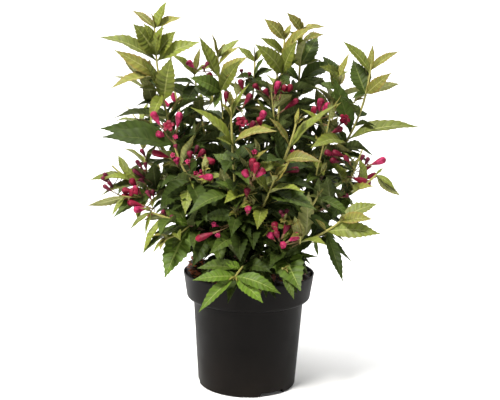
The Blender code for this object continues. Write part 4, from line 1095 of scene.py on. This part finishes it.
# %% Building joined meshes
def add_mesh(name, points, faces, slots, finishes, facts=None):
    """One joined piece from arrays, shaded smooth except where its faces turn sharply."""
    mesh = bpy.data.meshes.new(name)
    mesh.from_pydata(points, [], faces)
    for finish in finishes:
        mesh.materials.append(finish)
    mesh.polygons.foreach_set("material_index", slots)
    if facts is not None:
        mesh.attributes.new("leaf", "FLOAT_VECTOR", "POINT").data.foreach_set("vector", facts)
    mesh.shade_smooth()
    mesh.set_sharp_from_angle(angle=math.radians(60))
    mesh.update()
    piece = bpy.data.objects.new(name, mesh)
    bpy.context.scene.collection.objects.link(piece)
    return piece


LARGE_LEAF = 38 * MM


def leaves_piece(name, group):
    """All the leaves of some masses as one piece, large ones with more rows."""
    large = [leaf for leaf in group if (leaf[2] - leaf[1]).length >= LARGE_LEAF]
    small = [leaf for leaf in group if (leaf[2] - leaf[1]).length < LARGE_LEAF]
    all_points, all_facts, all_faces, all_slots = [], [], [], []
    gone = 0
    for part, rows in ((large, LARGE_ROWS), (small, SMALL_ROWS)):
        quads, is_lower = leaf_faces(rows)
        points, facts = leaf_points(part, rows)
        per_leaf = 2 * (rows + 1) * len(COLUMNS)
        starts = gone + np.arange(len(part)) * per_leaf
        upper = np.array([AGES_AND_SHADE.index(leaf[5]) for leaf in part])
        lower = np.array([UNDER_SLOT[leaf[5]] for leaf in part])
        all_points.append(points.reshape(-1, 3))
        all_facts.append(facts.reshape(-1))
        all_faces.append((quads[None] + starts[:, None, None]).reshape(-1, 4))
        all_slots.append(np.where(is_lower[None], lower[:, None], upper[:, None]).ravel())
        gone += len(part) * per_leaf
    points, facts, faces, slots = map(np.concatenate, (all_points, all_facts, all_faces, all_slots))
    return add_mesh(name, points.tolist(), faces.tolist(), slots.tolist(), leaf_finishes, facts.tolist())


REGIONS = {
    "left": ("left_leader", "left_sprays", "left_front", "left_low"),
    "middle": ("centre_left", "left_back", "centre_back", "centre_front", "front_right", "front_low",
               "front_low_right", "front_middle"),
    "right": ("right_centre", "right_centre_twin", "right_leader", "right_side", "right_low", "right_mid"),
    "back": ("back_centre", "back_left", "back_left_low", "back_right", "back_right_low", "back_low",
             "back_low_right"),
}
for region, names in REGIONS.items():
    piece = leaves_piece(f"leaves_{region}", [leaf for leaf in leaves if leaf[0] in names])
    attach(piece, "root")
    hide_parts(*(f"foliage_{name}" for name in names))
    print(piece.name, "faces:", len(piece.data.polygons))

# %% [markdown]
# ## Twigs
# Young twigs are smooth and yellow-green, the stalks of the flowers red, and the lower half
# of a leading shoot is brown. A tube with a slight swelling at even steps, as where pairs of
# leaves stand, is enough at this size.

# %% Tubes along paths
def ring_faces(rings, sides):
    """The quads between rings of points, and a cap at each end."""
    faces = []
    for ring in range(rings - 1):
        for corner in range(sides):
            after = (corner + 1) % sides
            low = ring * sides
            faces.append((low + corner, low + after, low + sides + after, low + sides + corner))
    faces.append(tuple(reversed(range(sides))))
    faces.append(tuple(range((rings - 1) * sides, rings * sides)))
    return faces


def tube_arrays(path, foot, end, sides, swell_every=0.0, relief=0.0):
    """Rings of points round a path, and the faces between them."""
    ahead = (path[1] - path[0]).normalized()
    side = ahead.orthogonal().normalized()
    total = path_length(path)
    gone = 0.0
    points = []
    for index, point in enumerate(path):
        after = path[min(index + 1, len(path) - 1)]
        before = path[max(index - 1, 0)]
        turned = (after - before).normalized()
        side = (ahead.rotation_difference(turned) @ side).normalized()
        ahead = turned
        gone += (point - before).length if index else 0.0
        radius = foot + (end - foot) * gone / total
        if swell_every:
            radius *= 1 + 0.22 * max(0, math.cos(math.tau * gone / swell_every)) ** 8
        for corner in range(sides):
            spoke = Quaternion(ahead, math.tau * corner / sides) @ side
            rough = 1 + relief * noise.noise((point + spoke * radius) * 420)
            points.append(point + spoke * radius * rough)
    return points, ring_faces(len(path), sides)


def join_shapes(shapes):
    """Several (points, faces, slot) shapes as one set of arrays."""
    points, faces, slots = [], [], []
    for shape_points, shape_faces, slot in shapes:
        start = len(points)
        points += [tuple(point) for point in shape_points]
        faces += [tuple(start + corner for corner in face) for face in shape_faces]
        slots += [slot] * len(shape_faces)
    return points, faces, slots


def bark_material(name, base, other, relief, scale):
    """Thin skin that drifts between two colours, with a fine relief."""
    finish, tree = new_material(name)
    grain = clouds(tree, scale, 4.0, (1, 1, 0.3))
    surface(tree, blend(tree, grain, base, other), 0.62, 0.3, grain, relief, 0.8)
    return finish


twig_finishes = [
    bark_material("green_twig", (0.20, 0.20, 0.05), (0.34, 0.30, 0.09), 0.0002, 300.0),
    bark_material("red_twig", (0.07, 0.032, 0.012), (0.12, 0.085, 0.024), 0.0002, 300.0),
    bark_material("brown_twig", (0.10, 0.055, 0.035), (0.22, 0.14, 0.085), 0.0004, 300.0),
]
SKIN_SLOT = {"green": 0, "red": 1, "brown": 2}
WOODY_SHARE = 0.45
SWELL_EVERY = 32 * MM
shapes = []
for path, foot, end, twig_skin in twigs:
    shapes.append((*tube_arrays(path, foot, end, 6), SKIN_SLOT[twig_skin]))
for path in leaders.values():
    woody = int(len(path) * WOODY_SHARE)
    shapes.append((*tube_arrays(path[: woody + 1], 2.2 * MM, 1.9 * MM, 8, SWELL_EVERY), SKIN_SLOT["brown"]))
    shapes.append((*tube_arrays(path[woody:], 1.9 * MM, 1.3 * MM, 8, SWELL_EVERY), SKIN_SLOT["green"]))
twig_piece = add_mesh("twigs", *join_shapes(shapes), twig_finishes)
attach(twig_piece, "root")
print("twig faces:", len(twig_piece.data.polygons))

# %% [markdown]
# ## Buds and flowers
# A closed bud is modelled once as a ring of ribs that runs from a dark calyx along a thin
# tube to a blunt club. Each bud then gets its own length, bend and place. An open flower
# has the same tube with five lobes that curl back.

# %% The bud's shape
BUD_SIDES = 15
CLUB = ((0.0, 0.20), (0.08, 0.24), (0.13, 0.34), (0.17, 0.27), (0.28, 0.32), (0.40, 0.48), (0.52, 0.68),
        (0.64, 0.86), (0.76, 0.98), (0.86, 1.0), (0.94, 0.78), (0.985, 0.40), (1.0, 0.08))
TRUMPET = ((0.0, 0.24), (0.12, 0.36), (0.18, 0.26), (0.36, 0.30), (0.6, 0.6), (0.84, 1.0), (0.9, 0.5),
           (0.92, 0.1))
PROFILES = {
    "club": (CLUB, 4.4), "bright": (CLUB, 4.7), "dark": (CLUB, 4.0), "end": (CLUB, 4.4),
    "small": (CLUB, 3.0), "open": (TRUMPET, 3.8), "star": (TRUMPET, 2.4),
}
LOBE_ROWS = ((2.6, 2.0, 0.0), (4.8, 3.0, 1.8), (7.0, 2.9, 1.9), (8.6, 1.5, 0.8))
LOBE_SCALE = {"open": 1.0, "star": 0.45}
CALYX_END = 0.18
# bright, end-on and star buds take the crimson with a painted highlight; dark buds a deeper crimson with
# painted shade
BODY_SLOT = {"club": 1, "bright": 2, "dark": 3, "end": 2, "small": 4, "open": 1, "star": 2}


def lathe_bud(foot, ahead, length, profile, widest, bend):
    """Rings round a slightly bent axis, with five soft ribs."""
    side = ahead.orthogonal().normalized()
    other = ahead.cross(side)
    points = []
    for share, radius in profile:
        middle = foot + ahead * length * share + side * length * bend * share * share
        for corner in range(BUD_SIDES):
            angle = math.tau * corner / BUD_SIDES
            ridge = 1 + 0.17 * math.cos(5 * angle + 4 * share) * min(1, share * 2)
            spoke = side * math.cos(angle) + other * math.sin(angle)
            points.append(middle + spoke * radius * widest * ridge * MM)
    return points, ring_faces(len(profile), BUD_SIDES)


def bud_slots(profile, kind):
    """The calyx is dark, and the rest takes the bud's own colour."""
    slots = []
    for share, _ in profile[:-1]:
        slots += [0 if share < CALYX_END else BODY_SLOT[kind]] * BUD_SIDES
    return slots + [0, BODY_SLOT[kind]]


def lobes(foot, ahead, length, scale, turn):
    """Five rounded lobes that curl back from a trumpet's mouth."""
    side = ahead.orthogonal().normalized()
    other = ahead.cross(side)
    mouth = foot + ahead * length * 0.84
    points, faces = [], []
    for lobe in range(5):
        angle = math.tau * lobe / 5 + turn
        out = side * math.cos(angle) + other * math.sin(angle)
        across = -side * math.sin(angle) + other * math.cos(angle)
        start = len(points)
        for reach, half, forward in LOBE_ROWS:
            middle = mouth + (out * reach + ahead * forward) * scale * MM
            for thick in (0.0, -0.3):
                for way in (-1, 1):
                    points.append(middle + across * half * way * scale * MM + ahead * thick * MM)
        for row in range(len(LOBE_ROWS) - 1):
            a = start + row * 4
            faces += [(a, a + 1, a + 5, a + 4), (a + 3, a + 2, a + 6, a + 7)]
            faces += [(a + 2, a, a + 4, a + 6), (a + 1, a + 3, a + 7, a + 5)]
        faces.append((start + 1, start, start + 2, start + 3))
        faces.append((start + 12, start + 13, start + 15, start + 14))
    return points, faces


print("rings in a bud:", len(CLUB))

# %% [markdown]
# Petals are crimson with a soft bloom that catches the light along the club. A slow noise
# lets their colour drift between a deep and a bright one, and raises the skin a little. The
# bright petals are crimson with a painted highlight, and the dark ones a deeper crimson with
# painted shade.

# %% Petal materials and the blossom piece
def petal_material(name, deep, bright, roughness):
    """A petal's skin, which drifts between a deep and a bright colour."""
    finish, tree = new_material(name)
    bloom = clouds(tree, 160.0)
    spread = ramp(tree, bloom, 0.35, 0.65, step="LINEAR")
    surface(tree, blend(tree, spread, deep, bright), roughness, 0.15, bloom, 0.0004, 0.4)
    return finish


petal_finishes = [
    petal_material("calyx", (0.10, 0.045, 0.03), (0.17, 0.11, 0.05), 0.6),
    petal_material("petal_crimson", (0.085, 0.003, 0.010), (0.19, 0.006, 0.026), 0.5),
    # painted highlight on crimson; the next row is a deeper crimson with painted shade
    petal_material("petal_painted_highlight", (0.12, 0.004, 0.018), (0.34, 0.022, 0.085), 0.48),
    petal_material("petal_dark_painted_shade", (0.085, 0.005, 0.015), (0.15, 0.008, 0.026), 0.5),
    petal_material("bud_maroon", (0.06, 0.009, 0.018), (0.14, 0.014, 0.034), 0.5),
]
shapes, bud_slot_list = [], []
for foot, ahead, length, kind, dice in buds:
    profile, widest = PROFILES[kind]
    points, faces = lathe_bud(foot, ahead, length, profile, widest, 0.12 * (dice - 0.5))
    shapes.append((points, faces, 0))
    bud_slot_list += bud_slots(profile, kind)
    if kind in LOBE_SCALE:
        points, faces = lobes(foot, ahead, length, LOBE_SCALE[kind], dice)
        shapes.append((points, faces, 0))
        bud_slot_list += [BODY_SLOT[kind]] * len(faces)
points, faces, _ = join_shapes(shapes)
blossom = add_mesh("blossom", points, faces, bud_slot_list, petal_finishes)
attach(blossom, "root")
print("blossom faces:", len(blossom.data.polygons))

# %% [markdown]
# ## Stem and canes
# The wood has thin brown bark. Each cane is one tapering tube, and the stem is turned with
# a flare at its foot. A noise moves their points in and out, so that the bark's relief is
# in the mesh and not only in the shader.

# %% The woody limbs
STEM_SIDES = 28
CANE_SIDES = 12


def stem_arrays():
    """The stem's turned profile, roughened."""
    bottom = COMPOST_TOP + CLEAR - 1.5 * MM
    profile = [(STEM_FLARE, 0.0), (STEM_FLARE - 1.5 * MM, 1.5 * MM)]
    profile += [(STEM_WAIST + 1 * MM, 3.5 * MM), (STEM_WAIST, 6 * MM)]
    for step in range(9):
        angle = math.radians(90 * step / 8)
        radius = max(STEM_DOME * math.cos(angle), 0.3 * MM)
        profile.append((radius, DOME_HEIGHT + STEM_DOME * math.sin(angle)))
    points = []
    for radius, height in profile:
        for corner in range(STEM_SIDES):
            angle = math.tau * corner / STEM_SIDES
            spoke = Vector((math.cos(angle), math.sin(angle), 0))
            spot = spoke * radius + Vector((0, 0, bottom + height))
            points.append(spot + spoke * 0.9 * MM * noise.noise(spot * 260))
    return points, ring_faces(len(profile), STEM_SIDES)


limb_shapes = [(*stem_arrays(), 0)]
for cane in CANES:
    tube = tube_arrays(cane_path(cane, 30), CANE_FOOT, CANE_TIP, CANE_SIDES, 30 * MM, 0.12)
    limb_shapes.append((*tube, 0))
bark_finish = bark_material("brown_bark", (0.085, 0.045, 0.028), (0.23, 0.14, 0.085), 0.0008, 260.0)
limbs = add_mesh("bark", *join_shapes(limb_shapes), [bark_finish])
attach(limbs, "root")
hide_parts("stem", *CANES)
print("bark faces:", len(limbs.data.polygons))

# %% [markdown]
# ## The pot
# A nursery pot is thin moulded plastic: a tapering body, a wide collar that stiffens the
# mouth, and a foot ring with three notches that let water out. It is modelled from one
# circle, extruded and resized up the outside, over the lip and down the inside.

# %% The pot's wall from one circle
COLLAR_BOTTOM = 128 * MM
COLLAR_RADIUS = 90 * MM
COLLAR_ROUND = 6 * MM
NECK_RADIUS = 80 * MM
BASE_RADIUS = 71.4 * MM
BASE_ROUND = 3 * MM
POT_WALL = 2 * MM
FOOT_RING = 5 * MM
FOOT_HEIGHT = 6.2 * MM
FLOOR_TOP = 8.5 * MM
BOSS_RADIUS = 24 * MM


def arc(centre_radius, centre_height, radius, first, last, steps):
    """Points of a round corner in a profile, from one angle in degrees to another."""
    points = []
    for step in range(steps + 1):
        angle = math.radians(first + (last - first) * step / steps)
        points.append((centre_radius + radius * math.cos(angle), centre_height + radius * math.sin(angle)))
    return points


def pot_profile():
    """The wall's radius and height, from the boss under the floor to the floor inside."""
    foot = BASE_RADIUS - FOOT_RING
    low = COLLAR_BOTTOM + COLLAR_ROUND
    points = [(BOSS_RADIUS, 0), (BOSS_RADIUS + 2 * MM, FOOT_HEIGHT)]
    points += [(foot - 1 * MM, FOOT_HEIGHT), (foot, 0)]
    points += arc(BASE_RADIUS - BASE_ROUND, BASE_ROUND, BASE_ROUND, -90, 0, 6)
    points += [(NECK_RADIUS - 0.1 * MM, COLLAR_BOTTOM - 2 * MM)]
    points += arc(NECK_RADIUS + 1.5 * MM, COLLAR_BOTTOM - 1.5 * MM, 1.5 * MM, 180, 90, 3)
    points += arc(COLLAR_RADIUS - COLLAR_ROUND, low, COLLAR_ROUND, -80, 0, 8)
    points += [(RIM_RADIUS - 0.5 * MM, POT_HEIGHT - 4 * MM)]
    points += arc(RIM_RADIUS - POT_WALL / 2, POT_HEIGHT - POT_WALL / 2, POT_WALL / 2, 0, 180, 6)
    points += [(COLLAR_RADIUS - POT_WALL, low + 1 * MM), (NECK_RADIUS - POT_WALL, COLLAR_BOTTOM - 1 * MM)]
    points += [(BASE_RADIUS - POT_WALL, FLOOR_TOP + 3 * MM), (BASE_RADIUS - POT_WALL - 3 * MM, FLOOR_TOP)]
    return points


def extrude_rings(profile, sides):
    """Starts with a filled circle and extrudes it ring by ring along a profile."""
    radius, height = profile[0]
    place = (0, 0, height)
    bpy.ops.mesh.primitive_circle_add(vertices=sides, radius=radius, fill_type="NGON", location=place)
    bpy.ops.object.transform_apply(location=True)
    bpy.ops.object.mode_set(mode="EDIT")
    bpy.ops.mesh.select_all(action="SELECT")
    for after_radius, after_height in profile[1:]:
        bpy.ops.mesh.extrude_region_move(TRANSFORM_OT_translate={"value": (0, 0, after_height - height)})
        grow = after_radius / radius
        bpy.ops.transform.resize(value=(grow, grow, 1), center_override=(0, 0, after_height))
        radius, height = after_radius, after_height
    bpy.ops.object.mode_set(mode="OBJECT")
    return bpy.context.active_object


pot = extrude_rings(pot_profile(), 144)
pot.name = pot.data.name = "pot_shell"
print("pot faces before the notches:", len(pot.data.polygons))

# %% [markdown]
# The three notches are cut with wedges whose sides lean, like the slots a mould leaves.
# The first faces a little right of the front.

# %% Cutting the notches
NOTCHES = 3
FIRST_NOTCH = math.radians(-58)
NOTCH_LOW_ANGLE = math.radians(18.5)
NOTCH_HIGH_ANGLE = math.radians(14.5)


def notch_cutter(number):
    """A wedge that spans the foot ring, wider at the ground than at its top."""
    middle = FIRST_NOTCH + number * math.tau / NOTCHES
    bpy.ops.mesh.primitive_cube_add(size=2)
    cutter = bpy.context.active_object
    for vert in cutter.data.vertices:
        low = vert.co.z < 0
        half = NOTCH_LOW_ANGLE if low else NOTCH_HIGH_ANGLE
        inner = BASE_RADIUS - FOOT_RING - 6 * MM
        radius = (BASE_RADIUS + 8 * MM if vert.co.x > 0 else inner) / math.cos(half)
        turn = middle + (half if vert.co.y > 0 else -half)
        height = -4 * MM if low else FOOT_HEIGHT - 0.1 * MM
        vert.co = (radius * math.cos(turn), radius * math.sin(turn), height)
    return cutter


for number in range(NOTCHES):
    bpy.ops.object.select_all(action="DESELECT")
    cutter = notch_cutter(number)
    bpy.context.view_layer.objects.active = pot
    cut = pot.modifiers.new("notch", "BOOLEAN")
    cut.operation = "DIFFERENCE"
    cut.object = cutter
    bpy.ops.object.modifier_apply(modifier=cut.name)
    bpy.data.objects.remove(cutter)
pot.data.shade_smooth()
pot.data.set_sharp_from_angle(angle=math.radians(40))
print("pot faces after the notches:", len(pot.data.polygons))

# %% [markdown]
# Black pot plastic is not quite black: it has a soft sheen, a fine grain from the mould,
# and a dusting of pale soil near the foot. The dust is a mask that fades with height.

# %% Moulded plastic
DUST_TOP = 0.07
plastic, tree = new_material("moulded_plastic")
place = wire(tree, "ShaderNodeTexCoord")
height = wire(tree, "ShaderNodeSeparateXYZ", ("Vector", place.outputs["Object"])).outputs["Z"]
scuffs = clouds(tree, 26.0, 5.0)
near_foot = ramp(tree, height, DUST_TOP, 0.0, 0.0, 0.5, "LINEAR")
dust = maths(tree, "MULTIPLY", near_foot, scuffs)
colour = blend(tree, dust, (0.0030, 0.0024, 0.0021), (0.020, 0.015, 0.011))
sheen = ramp(tree, scuffs, 0.3, 0.7, 0.42, 0.54, "LINEAR")
surface(tree, colour, sheen, 0.07, clouds(tree, 1400.0, 3.0), 0.0001, 0.35)
pot.data.materials.append(plastic)
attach(pot, "root")
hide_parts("pot")
print("pot sheen nodes:", len(tree.nodes))

# %% [markdown]
# ## The compost
# The bed is a disc of rings, lumpy towards the rim and pushed up and down by a noise, and on
# it lie chips of bark. At the left they are heaped against the rim, where the photo shows
# them red between the leaves. A chip is a small ball of few faces, flattened and chopped by
# moving its points, and no two are alike.

# %% The bed and its chips
COMPOST_HEAP = 8 * MM
COMPOST_FLAT = 19 * MM
WALL_INSIDE = 91 * MM
LEFT_HEAP = 25 * MM
HEAP_X, HEAP_Y = -76 * MM, -6 * MM
HEAP_WIDE, HEAP_DEEP = 22 * MM, 30 * MM
HEAP_EDGE = 9 * MM


def compost_height(x, y):
    """The surface: flat round the stem, lumpy by the rim, and heaped at the left."""
    away = math.hypot(x, y)
    share = min(1, max(0, (away - COMPOST_FLAT) / (70 * MM)))
    ripple = math.sin(x * 170 + 1) * math.cos(y * 150 + 2)
    left = LEFT_HEAP * math.exp(-(((x - HEAP_X) / HEAP_WIDE) ** 2) - (((y - HEAP_Y) / HEAP_DEEP) ** 2))
    left *= 0.25 + 0.75 * min(1, max(0, (WALL_INSIDE - away) / HEAP_EDGE))
    return COMPOST_TOP + share * COMPOST_HEAP * (0.35 + 0.6 * ripple) + left


bed_profile = [(76 * MM, 100 * MM), (78.5 * MM, 126 * MM), (87.0 * MM, 134 * MM)]
bed_profile += [(90.6 * MM, COMPOST_TOP)]
bed_profile += [(radius * MM, COMPOST_TOP) for radius in range(88, 2, -3)]
bpy.ops.object.select_all(action="DESELECT")
bed = extrude_rings(bed_profile, 120)
bed.name = bed.data.name = "compost_bed"
for vert in bed.data.vertices:
    if vert.co.z > COMPOST_TOP - 1 * MM:
        lumps = 1.6 * noise.noise(vert.co * 120) + 1.0 * noise.noise(vert.co * 380)
        vert.co.z = compost_height(vert.co.x, vert.co.y) + lumps * MM
bed.data.shade_smooth()


CHIPS, HEAPED_CHIPS = 620, 150
chip_rng = random.Random("chips")
chip_shapes = []


def lay_chip(x, y, size, lift, slots):
    """A bark chip: twelve points of a ball, flattened and chopped."""
    ball = bmesh.new()
    bmesh.ops.create_icosphere(ball, subdivisions=1, radius=1)
    turn = Matrix.Rotation(chip_rng.uniform(0, math.tau), 3, "Z")
    turn = turn @ Matrix.Rotation(chip_rng.uniform(-0.5, 0.5), 3, "X")
    stretch = Vector((1.0, chip_rng.uniform(0.4, 0.8), chip_rng.uniform(0.22, 0.45)))
    place = Vector((x, y, compost_height(x, y) + lift))
    points = []
    for vert in ball.verts:
        spot = Vector([a * b for a, b in zip(vert.co, stretch)]) * size * chip_rng.uniform(0.75, 1.2)
        points.append(place + turn @ spot)
    faces = [tuple(v.index for v in face.verts) for face in ball.faces]
    ball.free()
    chip_shapes.append((points, faces, chip_rng.choice(slots)))


for number in range(CHIPS):
    away = math.sqrt(chip_rng.uniform(0.03, 1)) * 88 * MM
    turn = chip_rng.uniform(0, math.tau)
    size = chip_rng.choice((1.6, 2.2, 3.0, 4.5, 6.5)) * MM
    lift = size * chip_rng.uniform(0.0, 0.35)
    if away + size < WALL_INSIDE:
        lay_chip(away * math.cos(turn), away * math.sin(turn), size, lift, (0, 1, 1, 1, 2))
for number in range(HEAPED_CHIPS):
    x, y = chip_rng.gauss(-76, 9) * MM, chip_rng.gauss(-8, 16) * MM
    size = chip_rng.choice((2.2, 3.0, 4.0)) * MM
    if math.hypot(x, y) + size < WALL_INSIDE + 1 * MM:
        lay_chip(x, y, size, size * 0.2, (0, 1, 1, 1, 1))
soil_finishes = [
    bark_material("dark_chip", (0.035, 0.018, 0.011), (0.09, 0.042, 0.024), 0.0006, 500.0),
    bark_material("red_chip", (0.24, 0.065, 0.026), (0.42, 0.13, 0.052), 0.0006, 500.0),
    bark_material("pale_chip", (0.15, 0.085, 0.045), (0.28, 0.17, 0.09), 0.0006, 500.0),
]
chips = add_mesh("bark_chips", *join_shapes(chip_shapes), soil_finishes)
chips.data.shade_flat()
peat = bark_material("compost", (0.012, 0.008, 0.006), (0.050, 0.028, 0.017), 0.0012, 420.0)
bed.data.materials.append(peat)
for piece in (bed, chips):
    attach(piece, "root")
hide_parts("compost")
print("chips:", len(chip_shapes))

# %% [markdown]
# ## Stage, light and camera
# The plant stands on a pale sweep that curves up behind it. A large soft light hangs up and
# to the left in front, a weaker one fills the right, a third brightens the sweep, and the
# sky is an even grey-white.

# %% The sweep
bpy.ops.object.select_all(action="DESELECT")
bpy.ops.mesh.primitive_grid_add(x_subdivisions=2, y_subdivisions=60, size=2)
sweep = bpy.context.active_object
sweep.name = "sweep"
SWEEP_FRONT, SWEEP_BEND, SWEEP_RADIUS, SWEEP_TOP = -2.5, 1.6, 1.0, 4.0
QUARTER = SWEEP_RADIUS * math.pi / 2
for vert in sweep.data.vertices:
    share = (vert.co.y + 1) / 2
    run = SWEEP_FRONT + share * (SWEEP_BEND - SWEEP_FRONT + QUARTER + SWEEP_TOP)
    turn = min(max(run - SWEEP_BEND, 0), QUARTER) / SWEEP_RADIUS
    up = max(run - SWEEP_BEND - QUARTER, 0)
    depth = min(run, SWEEP_BEND) + SWEEP_RADIUS * math.sin(turn)
    vert.co = (vert.co.x * 5, depth, SWEEP_RADIUS * (1 - math.cos(turn)) + up)
sweep.data.shade_smooth()
paper, tree = new_material("white_sweep")
surface(tree, blend(tree, clouds(tree, 3.0), (0.88, 0.88, 0.88), (0.92, 0.92, 0.92)), 0.9, 0.1)
sweep.data.materials.append(paper)
print("sweep faces:", len(sweep.data.polygons))

# %% [markdown]
# The camera stands 1.2 m in front, a little above the middle of the plant, and looks down
# by under nine degrees, with the slight roll that the pot's tilted rim shows.

# %% Lights and camera
def soft_light(name, place, target, size, power, colour):
    """A square area light that looks at a target."""
    lamp = bpy.data.lights.new(name, "AREA")
    lamp.size = size
    lamp.energy = power
    lamp.color = colour
    thing = bpy.data.objects.new(name, lamp)
    thing.location = place
    thing.rotation_euler = (Vector(target) - Vector(place)).to_track_quat("-Z", "Y").to_euler()
    bpy.context.scene.collection.objects.link(thing)


soft_light("key", (-1.05, -1.5, 2.35), (0, 0, 0.3), 0.6, 160, (1.0, 0.98, 0.94))
soft_light("fill", (1.0, -2.0, 0.5), (0, 0, 0.25), 1.6, 11, (0.96, 0.98, 1.0))
soft_light("backdrop", (0, 0.9, 3.0), (0, 2.4, 0.6), 2.5, 110, (1, 1, 1))
sky = bpy.data.worlds.new("studio")
bpy.context.scene.world = sky
sky.use_nodes = True
sky.node_tree.nodes["Background"].inputs["Color"].default_value = (1, 0.985, 0.95, 1)
sky.node_tree.nodes["Background"].inputs["Strength"].default_value = 0.2

CAMERA_PITCH = 0.150
CAMERA_ROLL = 0.022
FOCAL_PIXELS = 843
PHOTO_WIDTH = 500
look = Vector((0, math.cos(CAMERA_PITCH), -math.sin(CAMERA_PITCH)))
level = Vector((1, 0, 0))
right = level * math.cos(CAMERA_ROLL) + level.cross(look) * math.sin(CAMERA_ROLL)
above = right.cross(look)
view = Matrix((right, above, -look)).transposed().to_4x4()
view.translation = SEEN_FROM
lens = bpy.data.cameras.new("portrait")
lens.sensor_width = 36
lens.lens = FOCAL_PIXELS * lens.sensor_width / PHOTO_WIDTH
camera = bpy.data.objects.new("portrait", lens)
camera.matrix_world = view
bpy.context.scene.collection.objects.link(camera)
bpy.context.scene.camera = camera
bpy.context.scene.view_settings.view_transform = "Standard"
print("lens in mm:", round(lens.lens, 1))

# %% [markdown]
# ## Sizes and the finish
# The dressed plant must fill the same room as its solids; the solids' sizes close the lesson.

# %% Print the solids' sizes
print("solids in mm:", [[round(v / MM) for v in corner] for corner in cad_box])
